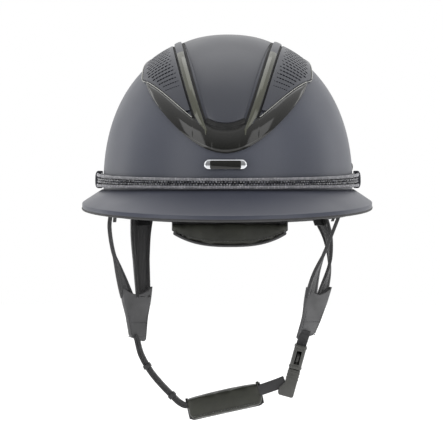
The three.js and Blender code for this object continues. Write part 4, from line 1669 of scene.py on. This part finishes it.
@dataclass
class NapeCradle(Assembly):
    """The moulded cradle behind the nape and the leather pad on it, which tilt together."""

    stitches: StitchTree
    spread: float = 34.0
    top: float = -24.8
    body: str = "nape"

    def edge(self, share: Array | float) -> Array | float:
        """Height of the lower edge, a share of the way round."""
        return -46 + 12.5 * np.abs(mix(-1, 1, share)) ** 2.6

    def point(self, share: Array, height: Array | float, offset: Array | float, spread: float) -> Array:
        """Points on the cradle's curve.

        Args:
            share: share of the way round.
            height: share of the way from the lower edge to the top.
            offset: distance out from the shell's outer face.
            spread: half of its angle.

        Returns:
            The points.
        """
        turn = mix(180 - spread, 180 + spread, share)
        foot = self.edge(share) + (self.spread - spread) * 0.4
        point = self.dome.around(turn, -20.0, offset)
        point[..., 2] = mix(foot, self.top, height)
        return point

    def build(self) -> Pieces:
        """Makes the cradle, the pad, the binding on its edge and its stitches."""
        body = slab(partial(self.place, -9.0, -7.2, self.spread - 2), 60, 12)
        cradle = piece("nape_support", body, BLACK_MOULDING, ["nape_cradle"], self.body, bevel=0.5)
        cushion = slab(partial(self.place, -14.4, -9.9, self.spread - 0.2), 50, 12)
        pad = Stuffing(most=1.3, fill=0.4).swell(shaped("nape_cushion", cushion, PAD_LEATHER))
        share = np.linspace(0.03, 0.97, 90)
        rim = self.point(share, 0.03, -11.9, self.spread)
        binding = swept(rim, round_section(1.5, 12) * [1, 1.3], (0, 0, 1))
        row = self.point(share[3:-3], 0.2, -14.9, self.spread)
        return [
            cradle,
            fitted(pad, PAD_LEATHER, self.body, ["nape_pad"]),
            piece("nape_binding", binding, EDGE_RUBBER, body=self.body),
            self.stitches.sewn("nape_stitches", [row], 3.0, 0.3, 3.0, self.body),
        ]

    def place(self, near: float, far: float, spread: float, u: Array, v: Array, w: float) -> Array:
        """Places a sheet between two offsets."""
        return self.point(u, v, mix(near, far, w), spread)


# ---- Harness ----


@dataclass(frozen=True)
class Ribbon:
    """A flat strap along a curve.

    Attributes:
        points: its middle line.
        angles: direction of its width along its length, turned from +X towards +Y.
        widths: its width along its length.
        thick: its thickness.
        hem: how far its rolled edges stand proud of each face.
    """

    points: tuple[Spot, ...]
    angles: tuple[float, ...]
    widths: tuple[float, ...]
    thick: float = 2.0
    hem: float = 0.35

    def frames(self, count: int) -> tuple[Array, Array, Array, Array]:
        """Middle points, directions of the width and out of the face, and widths, along the strap."""
        path = smooth_path(self.points, count)
        share = np.linspace(0, 1, count)
        angle = np.radians(np.interp(share, np.linspace(0, 1, len(self.angles)), self.angles))
        across = stacked(np.cos(angle), np.sin(angle), 0)
        normal = unit(np.cross(unit(np.gradient(path, axis=0)), across))
        widths = np.interp(share, np.linspace(0, 1, len(self.widths)), self.widths)
        return path, across, normal, widths

    def section(self, width: float) -> Array:
        """Outline of the strap with a rolled hem along both edges."""
        half, edge = self.thick / 2, width / 2
        profile = [(0, 0.35), (0.25, 0.75), (0.8, 1), (1.5, 1), (2.2, 0.75), (2.9, 0.3), (3.6, 0.05)]
        flat = [(edge - inset, half * min(1, 0.35 + rise) + self.hem * rise) for inset, rise in profile]
        flat += [(share * (edge - 3.6), half * 0.9) for share in (0.66, 0.33)]
        upper = flat + [(0, half * 0.9)] + [(-x, y) for x, y in reversed(flat)]
        return np.array(upper + [(x, -y) for x, y in reversed(upper)])

    def form(self, count: int = 110) -> Form:
        """The strap, with its threads along its length."""
        path, across, normal, widths = self.frames(count)
        sections = np.array([self.section(width) for width in widths])
        rings = path[:, None] + sections[..., :1] * across[:, None] + sections[..., 1:] * normal[:, None]
        threads = np.stack(np.broadcast_arrays(travelled(path)[:, None], sections[..., 0]), -1)
        return loft(rings, threads=threads)

    def line(self, inset: float, lift: float, start: float = 0.0, end: float = 1.0, count: int = 60) -> Array:
        """A line along one face.

        Args:
            inset: distance in from an edge, or from the other edge where it is negative.
            lift: distance out from the middle, towards one face or the other.
            start: share of the length where it starts.
            end: share where it ends.
            count: how many points it has.

        Returns:
            The line's points.
        """
        path, across, normal, widths = self.frames(count)
        keep = slice(round(start * (count - 1)), round(end * (count - 1)) + 1)
        side = math.copysign(1, inset) * (widths / 2 - abs(inset))
        return (path + across * side[:, None] + normal * lift)[keep]


@dataclass
class Harness(Assembly):
    """The four straps, the leather tabs that join them below the ears and their anchor plates."""

    stitches: StitchTree
    tuck: float = 3.5
    tab_thick: float = 3.4
    horn: float = 6.5
    foot_slant: float = 4.5
    bend: tuple[float, float] = (-20.0, -34.0)
    straps: dict[str, Ribbon] = field(default_factory=lambda: {
        "front_strap_left": Ribbon(
            ((-94.4, -35, -17.8), (-95.6, -33, -30), (-93.5, -27, -47), (-89, -21, -63), (-82.9, -11.6, -84)),
            (90, 90, 44), (18, 14),
        ),
        "rear_strap_left": Ribbon(
            ((-73.4, 68, -23.2), (-73.6, 51, -38), (-72.3, 30, -58), (-69.6, -3, -84)), (35, 45, 38), (22, 14)
        ),
        "front_strap_right": Ribbon(
            ((91.4, -35, -17.8), (88, -32, -27), (81, -27, -45), (72.5, -19, -66), (68.3, -12, -84)),
            (90, 90, 50), (18, 13),
        ),
        "rear_strap_right": Ribbon(
            ((77, 68, -23.2), (82.5, 50, -40), (83.5, 28, -61), (77.5, 1, -84)), (125, 95, 50), (20, 13)
        ),
    })
    tabs: dict[Hand, Ribbon] = field(default_factory=lambda: {
        Hand.LEFT: Ribbon(
            ((-75.0, -7, -84.7), (-74.4, -8, -103), (-74.0, -8, -121.5)), (34, 42, 52), (30, 22.5, 19)
        ),
        Hand.RIGHT: Ribbon(
            ((73.2, -6, -84.7), (68.8, -7.5, -103), (63.2, -8, -119.5)), (40, 42, 45), (25, 21, 19)
        ),
    })

    def build(self) -> Pieces:
        """Makes the straps, tabs, stitches and plates."""
        pieces = []
        for name, ribbon in self.straps.items():
            pieces += [self.strap(name, ribbon), refined(name.replace("strap", "anchor"), BLACK_MOULDING)]
        for hand, ribbon in self.tabs.items():
            pieces += self.tab(hand, ribbon)
        return pieces

    def strap(self, name: str, ribbon: Ribbon) -> Object:
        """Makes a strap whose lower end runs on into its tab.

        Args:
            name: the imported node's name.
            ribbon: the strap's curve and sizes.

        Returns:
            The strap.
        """
        end, before = np.array(ribbon.points[-1]), np.array(ribbon.points[-2])
        middle = np.array(self.tabs[Hand.LEFT if name.endswith("left") else Hand.RIGHT].points[1])
        direction = unit(middle - end) * 0.6 + unit(end - before) * 0.4
        longer = (*ribbon.points, tuple(end + unit(direction) * self.tuck))
        strip = Ribbon(longer, ribbon.angles, ribbon.widths, ribbon.thick, ribbon.hem)
        if not name.endswith("left"):
            return piece(f"{name}_web", strip.form(), STRAP_WEAVE, [name], sharp=60)
        obj = shaped(f"{name}_web", strip.form(), STRAP_WEAVE, sharp=60)
        middle = np.array(ribbon.points[0])
        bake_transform(obj)
        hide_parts(name)
        return obj

    def tab(self, hand: Hand, ribbon: Ribbon) -> Pieces:
        """Makes a tab that reaches up both straps, and its stitches."""
        body = "left_yoke" if hand is Hand.LEFT else ROOT
        face = self.tab_thick / 2 + 0.12
        lines = []
        for lift in (-face, face):
            lines += [ribbon.line(inset, lift, 0.08, 0.93) for inset in (1.6, -1.6)]
            for share in (0.62, 0.93):
                left, right = (ribbon.line(inset, lift, share, share + 0.02)[0] for inset in (1.6, -1.6))
                lines.append(np.linspace(left, right, 12))
        leather, node = self.tab_form(ribbon, hand), f"yoke_tab_{hand.label}"
        return [
            piece(f"yoke_{hand.label}", leather, YOKE_LEATHER, [node], body, bevel=0.6, limit=50),
            self.stitches.sewn(f"yoke_stitches_{hand.label}", lines, 2.1, 0.26, 2.8, body),
        ]

    def tab_form(self, ribbon: Ribbon, hand: Hand) -> Form:
        """A tab whose top edge dips between the straps and whose foot slants down towards the chin."""
        path, across, normal, widths = ribbon.frames(60)
        length = np.linalg.norm(path[-1] - path[0])
        start_way = unit(path[1] - path[0])

        def place(u: Array, v: Array, w: float) -> Array:
            """One point of the tab."""
            edge = np.abs(mix(-1, 1, v))
            round_foot = 1 - 0.05 * ease(0.75, 1, edge)
            share = np.clip(u * round_foot, 0, 1)
            spot = share * (len(path) - 1)
            at, side, out = (
                stacked(*(np.interp(spot, range(len(path)), values[:, axis]) for axis in range(3)))
                for values in (path, across, normal)
            )
            width = np.interp(spot, range(len(path)), widths)
            thick = self.tab_thick * (1 - 0.25 * edge**6) * (1.6 - 0.6 * ease(0.1, 0.6, u))
            point = at + side * (mix(-0.5, 0.5, v) * width)[..., None]
            point = point + out * (mix(-0.5, 0.5, w) * thick)[..., None]
            inner = v if hand is Hand.LEFT else 1 - v
            point = point + start_way * (self.foot_slant * (inner - 0.5) * ease(0.55, 1, u))[..., None]
            return point - start_way * (self.horn * edge**1.7 * (1 - u) ** (length / 8))[..., None]

        return slab(place, 36, 18)


# ---- Chin strap and pad ----


@dataclass
class ChinStrap(Assembly):
    """The doubled webbing under the chin, its elastic keepers and the leather pad that slides on it."""

    stitches: StitchTree
    width: float = 18.0
    layer: float = 1.9
    layer_gap: float = 0.45
    middle_y: float = -8.0
    pivot: tuple[float, float] = (-74.2, -121.5)
    hang: tuple[tuple[float, float], ...] = (
        (-70.8, -134), (-63.5, -147), (-55, -157.5), (-46, -166.8), (-39.4, -173),
    )
    run: tuple[float, ...] = (-33.0, -22.0, 0.0, 22.0, 40.6)
    pad_size: Spot = (62.0, 24.0, 19.0)
    pad_corner: float = 4.5
    pad_centre: tuple[float, float] = (-2.5, -172.0)
    tilt: float = 12.5
    rise: float = 3.3
    keepers: tuple[tuple[str, float], ...] = (("upper", 0.16), ("lower", 0.375))

    def sleeve_z(self, x: float) -> float:
        """Height of the webbing's middle where it runs through the pad."""
        slope = math.radians(self.tilt)
        return self.pad_centre[1] + self.rise / math.cos(slope) + math.tan(slope) * (x - self.pad_centre[0])

    @property
    def points(self) -> tuple[Spot, ...]:
        """The webbing's middle line."""
        flat = [self.pivot, *self.hang, *((x, self.sleeve_z(x)) for x in self.run)]
        return tuple((x, self.middle_y, z) for x, z in flat)

    def build(self) -> Pieces:
        """Makes the webbing, the keepers, the pad and its seams."""
        return [self.webbing(), *self.elastic(), *self.pad()]

    def webbing(self) -> Object:
        """Makes both layers of the webbing."""
        pivot, first = np.array(self.points[0]), np.array(self.points[1])
        points = (tuple(pivot + (pivot - first) * 0.3), *self.points)
        widths = (12.0, *(self.width,) * 4, *(self.width - 3,) * 3, *(self.width,) * 2)
        ribbon = Ribbon(points, (90, 90), widths, self.layer, 0.1)
        layers = []
        for side in (-1, 1):
            form = ribbon.form(190)
            normal = ribbon.frames(190)[2]
            shift = side * (self.layer + self.layer_gap) / 2
            form.points += np.repeat(normal * shift, len(form.points) // 190, axis=0)
            layers.append(form)
        obj = shaped("chin_web", Form.joined(layers), STRAP_WEAVE, sharp=60)
        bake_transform(obj)
        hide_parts("chin_webbing")
        return obj

    def elastic(self) -> Pieces:
        """Makes the two elastic loops round the webbing."""
        ribbon = Ribbon(self.points, (90, 90), (self.width, self.width), 4.4)
        path, across, normal, _ = ribbon.frames(200)
        pieces = []
        for label, share in self.keepers:
            at = round(share * 199)
            along = unit(path[at + 1] - path[at - 1])
            loop = rounded_section(self.width + 1.6, 5.9, 1.8, 6)
            centre = path[at] + loop[:, :1] * across[at] + loop[:, 1:] * normal[at]
            outward = unit(centre - path[at])
            band = rounded_section(0.9, 3.4, 0.4, 3)
            rings = centre[:, None] + band[None, :, :1] * outward[:, None] + band[None, :, 1:] * along
            name, node = f"strap_keeper_{label}", f"webbing_keeper_{label}"
            pieces.append(piece(name, loft(rings, wrap=True), EDGE_RUBBER, [node], "chin_strap"))
        return pieces

    def pad_place(self, along: Array | float, depth: Array | float, height: Array | float) -> Array:
        """Points in the pad's own directions.

        Args:
            along: distance from its middle along the webbing.
            depth: distance towards the back.
            height: distance up.

        Returns:
            The points.
        """
        slope = math.radians(self.tilt)
        x = self.pad_centre[0] + along * math.cos(slope) - height * math.sin(slope)
        z = self.pad_centre[1] + along * math.sin(slope) + height * math.cos(slope)
        return stacked(x, self.middle_y + depth, z)

    def pad_foot(self, along: Array) -> Array:
        """Height of the pad's lower edge, which curves up at its two corners."""
        past = np.maximum(np.abs(along) - (self.pad_size[0] / 2 - self.pad_corner), 0)
        rise = self.pad_corner - np.sqrt(np.maximum(self.pad_corner**2 - past**2, 0))
        return -self.pad_size[2] / 2 + rise

    def pad(self) -> Pieces:
        """Makes the stuffed pad, the seam round its edge, the fold above it and the pull tab."""
        length, depth, height = self.pad_size
        along = np.linspace(-0.5, 0.5, 40)[:, None] * (length - 1.2)
        section = rounded_section(depth - 2.4, 1.0, 0.24, 4)[None]
        low, high = self.pad_foot(along) + 0.9, height / 2 - 0.9
        taper = 1 - 0.1 * np.abs(along / length * 2) ** 8
        rings = self.pad_place(along, section[..., 0] * taper, mix(low, high, section[..., 1] + 0.5))
        body = shaped("chin_cushion_body", loft(rings), PAD_LEATHER)
        Stuffing(voxel=3.0, pressure=4.0, most=1.2, fill=0.7).swell(body)
        ends = np.linspace(-length / 2, length / 2, 160) * (1 - 1.6 / length)
        outline = [(ends[0], height / 2 - 1.2), *zip(ends, self.pad_foot(ends)), (ends[-1], height / 2 - 1.2)]
        path = smooth_path([self.pad_place(x, 0.0, z + 0.8) for x, z in outline], 240)
        inset = np.linspace(-length / 2 + 5, length / 2 - 5, 60)
        rows = [self.pad_place(inset, side * (depth / 2 - 1.1), -height / 2 + 3.2) for side in (-1, 1)]
        rides = "chin_cushion"
        return [
            fitted(body, PAD_LEATHER, rides, ["chin_pad"]),
            piece("chin_seam", swept(path, round_section(1.1, 10), (0, 1, 0)), EDGE_RUBBER, body=rides),
            piece("chin_tab", slab(self.tab_place, 10, 6), PAD_LEATHER, body=rides, bevel=0.3),
            self.stitches.sewn("chin_stitches", rows, 2.4, 0.28, 2.8, rides),
        ]

    def tab_place(self, u: Array, v: Array, w: float) -> Array:
        """Places the pull tab at the pad's upper corner."""
        length, _, height = self.pad_size
        along = length / 2 - 3 + mix(0, 2.4, u)
        return self.pad_place(along, mix(-9, 2, v), height / 2 - 1.4 + mix(0, 2, w))


# ---- Side-release buckle ----


@dataclass
class Buckle(Assembly):
    """The side-release buckle: a socket on the right tab, and a plug with two sprung arms on the strap."""

    mouth: Spot = (54.7, -8.0, -145.3)
    tilt: float = 15.5
    socket_length: float = 20.0
    socket_width: float = 25.0
    socket_thick: float = 9.6
    fold: tuple[Spot, ...] = ((63.9, -8, -113.5), (61.6, -8, -121), (59.4, -8, -127.5))
    tail_line: tuple[Spot, ...] = (
        (22, -8, -164.0), (30, -8, -161.6), (40.5, -8, -157.9), (46.8, -8, -155.4),
    )

    @property
    def place(self) -> Matrix:
        """The buckle's own directions: up the strap, its thickness, its width."""
        return Matrix.Translation(self.mouth) @ Matrix.Rotation(math.radians(self.tilt), 4, "Y")

    def block(
        self, name: str, size: Sequence[float], centre: Sequence[float], finish: Finish = BUCKLE_MOULDING,
        body: str = "chin_strap",
    ) -> Object:
        """Makes a rounded block in the buckle's directions.

        Args:
            name: the piece's name.
            size: its size along X, Y and Z.
            centre: its middle.
            finish: its surface.
            body: the body it moves with.

        Returns:
            The piece.
        """
        outline = rounded_section(size[0], size[1], min(size[:2]) * 0.3, 4)
        stations = [(0, centre[2] - size[2] / 2), (0, centre[2] + size[2] / 2)]
        shift = self.place @ Matrix.Translation((centre[0], centre[1], 0))
        form = domed_plate(lambda inset: outline, stations, shift)
        return piece(name, form, finish, body=body, bevel=min(size) * 0.18)

    def loop(self) -> Object:
        """Makes the folded webbing that joins the right tab to the socket."""
        ribbon = Ribbon(self.fold, (90, 90), (11.5, 17.5, 17.5), 8.0, 0.1)
        return piece("buckle_fold", ribbon.form(30), STRAP_WEAVE, ["buckle_loop"], sharp=60)

    def tail(self) -> Object:
        """Makes the webbing folded back on itself where it enters the plug."""
        ribbon = Ribbon(self.tail_line, (90, 90), (18.6, 18.6), 8.2, 0.1)
        return piece("strap_fold", ribbon.form(40), STRAP_WEAVE, body="chin_strap", sharp=60)

    def build(self) -> Pieces:
        """Makes the buckle's mouldings, ribs and loop."""
        thick, width = self.socket_thick, self.socket_width
        collar_size, collar_z = (thick + 0.8, width + 0.8, 1.8), self.socket_length - 1.4
        pieces = [
            refined("buckle_socket", BUCKLE_MOULDING, bevel=0.6),
            refined("buckle_plug", BUCKLE_MOULDING, "chin_strap", bevel=0.6),
            refined("release_arm_front", BUCKLE_MOULDING, "release_front"),
            refined("release_arm_back", BUCKLE_MOULDING, "release_back"),
            self.loop(),
            self.tail(),
            self.block("socket_lip", (thick + 1, width + 1, 1.6), (0, 0, 1.6), body=ROOT),
            self.block("socket_collar", collar_size, (0, 0, collar_z), body=ROOT),
            # The plug guide is near-black: painted shade for the slot that it runs in.
            self.block("plug_guide", (4.3, 1.2, 11), (0, 0, 9.5), SHADOW_BLACK),
        ]
        for number in range(3):
            rib = (thick + 0.7, width - 0.4, 0.9)
            pieces.append(self.block(f"plug_rib_{number}", rib, (0, 0, -3.2 - 2.6 * number)))
        return pieces


# ---- Studio ----


@dataclass
class Studio:
    """The pale floor, the soft lights and the camera."""

    distance: float = 3.0
    turn: float = 1.0
    view_width: float = 0.3633
    sensor: float = 36.0
    aim: tuple[float, float] = (-0.0053, -0.025)
    floor_drop: float = 0.09
    low_light: float = 0.3
    high_light: float = 1.3
    brightest_way: Spot = (0.0, 0.45, 0.89)
    floor_half: float = 8.0
    lamps: tuple[tuple[str, tuple, tuple, float], ...] = (
        ("front_left", (-1.05, -1.1, 0.3), (0.8, 1.4), 6.0),
        ("front_right", (1.05, -1.1, 0.3), (0.8, 1.4), 5.0),
        ("top", (0.0, 0.2, 1.4), (1.4, 1.2), 6.0),
        ("rim_left", (-1.3, 0.7, 0.3), (0.3, 1.2), 1.6),
        ("rim_right", (1.3, 0.7, 0.3), (0.3, 1.2), 1.6),
    )

    def build(self) -> None:
        """Makes the stage."""
        scene = bpy.context.scene
        scene.view_settings.view_transform = "Standard"
        scene.world = self.sky()
        self.floor()
        for lamp in self.lamps:
            self.light(*lamp)
        camera = bpy.data.objects.new("camera", bpy.data.cameras.new("camera"))
        camera.data.sensor_width = self.sensor
        camera.data.lens = self.sensor * self.distance / self.view_width
        camera.data.clip_start = 0.05
        turn = math.radians(self.turn)
        x, z = self.aim
        camera.location = (x + self.distance * math.sin(turn), -self.distance * math.cos(turn), z)
        camera.rotation_euler = (math.pi / 2, 0, turn)
        scene.collection.objects.link(camera)
        scene.camera = camera

    def sky(self) -> bpy.types.World:
        """Makes a white backdrop that lights the helmet mostly from above and behind."""
        world = bpy.data.worlds.new("studio")
        world.use_nodes = True
        sky = Nodes(world.node_tree)
        way = {0: sky.add("ShaderNodeTexCoord").outputs["Generated"], 1: self.brightest_way}
        level = sky.add("ShaderNodeVectorMath", way, operation="DOT_PRODUCT").outputs["Value"]
        ends = {"From Min": -0.4, "From Max": 1.0, "To Min": self.low_light, "To Max": self.high_light}
        level = sky.add("ShaderNodeMapRange", {"Value": level, **ends}).outputs["Result"]
        seen = sky.add("ShaderNodeLightPath").outputs["Is Camera Ray"]
        strength = sky.add("ShaderNodeMix", {"Factor": seen, "A": level, "B": 1.0}).outputs["Result"]
        background = sky.tree.nodes["Background"]
        sky.tree.links.new(strength, background.inputs["Strength"])
        background.inputs["Color"].default_value = WHITE
        return world

    def floor(self) -> None:
        """Makes the floor, low enough for the open chin strap to hang clear of it."""
        size, low = self.floor_half, CAD_BOX[0][2] - self.floor_drop
        corners = [(x * size, y * size, low) for x, y in ((-1, -1), (1, -1), (1, 1), (-1, 1))]
        floor = placed_mesh("floor", np.array(corners) / MM, [(0, 1, 2, 3)])
        board = Board("pale_floor", Base_Color=(0.95, 0.95, 0.95, 1.0), Roughness=1.0)
        board.set(Specular_IOR_Level=0.0, Emission_Color=WHITE, Emission_Strength=0.3)
        floor.data.materials.append(board.material)

    def light(self, name: str, place: Sequence[float], size: Sequence[float], power: float) -> None:
        """Makes a soft light that faces the helmet.

        Args:
            name: the light's name.
            place: where it stands, in metres.
            size: its width and height, in metres.
            power: its power in watts.
        """
        lamp = bpy.data.lights.new(name, "AREA")
        lamp.shape = "RECTANGLE"
        lamp.size, lamp.size_y = size
        lamp.energy = power
        obj = bpy.data.objects.new(name, lamp)
        obj.location = place
        obj.rotation_euler = (-Vector(place)).to_track_quat("-Z", "Y").to_euler()
        bpy.context.scene.collection.objects.link(obj)


def main() -> None:
    """Builds the helmet and the studio."""
    logging.basicConfig(level=logging.INFO, format="%(name)s: %(message)s")
    dome = Dome.from_frame()
    stones, stitches, holes = RowTree("stone_row", False), StitchTree("stitch_row", True), HoleTree()
    rails = Rails(dome)
    assemblies = [
        Shell(dome), rails, Vents(dome, rails, holes), GlossFrame(dome), Brim(dome, stitches),
        HatBand(dome, stones, stitches), ComfortLining(dome), NapeCradle(dome, stitches),
        Harness(dome, stitches), ChinStrap(dome, stitches), Buckle(dome),
    ]
    for assembly in assemblies:
        for piece in assembly.build():
            LOG.info("%s: %s, %d faces", type(assembly).__name__, piece.name, len(piece.data.polygons))
    Studio().build()


if __name__ == "__main__":
    main()
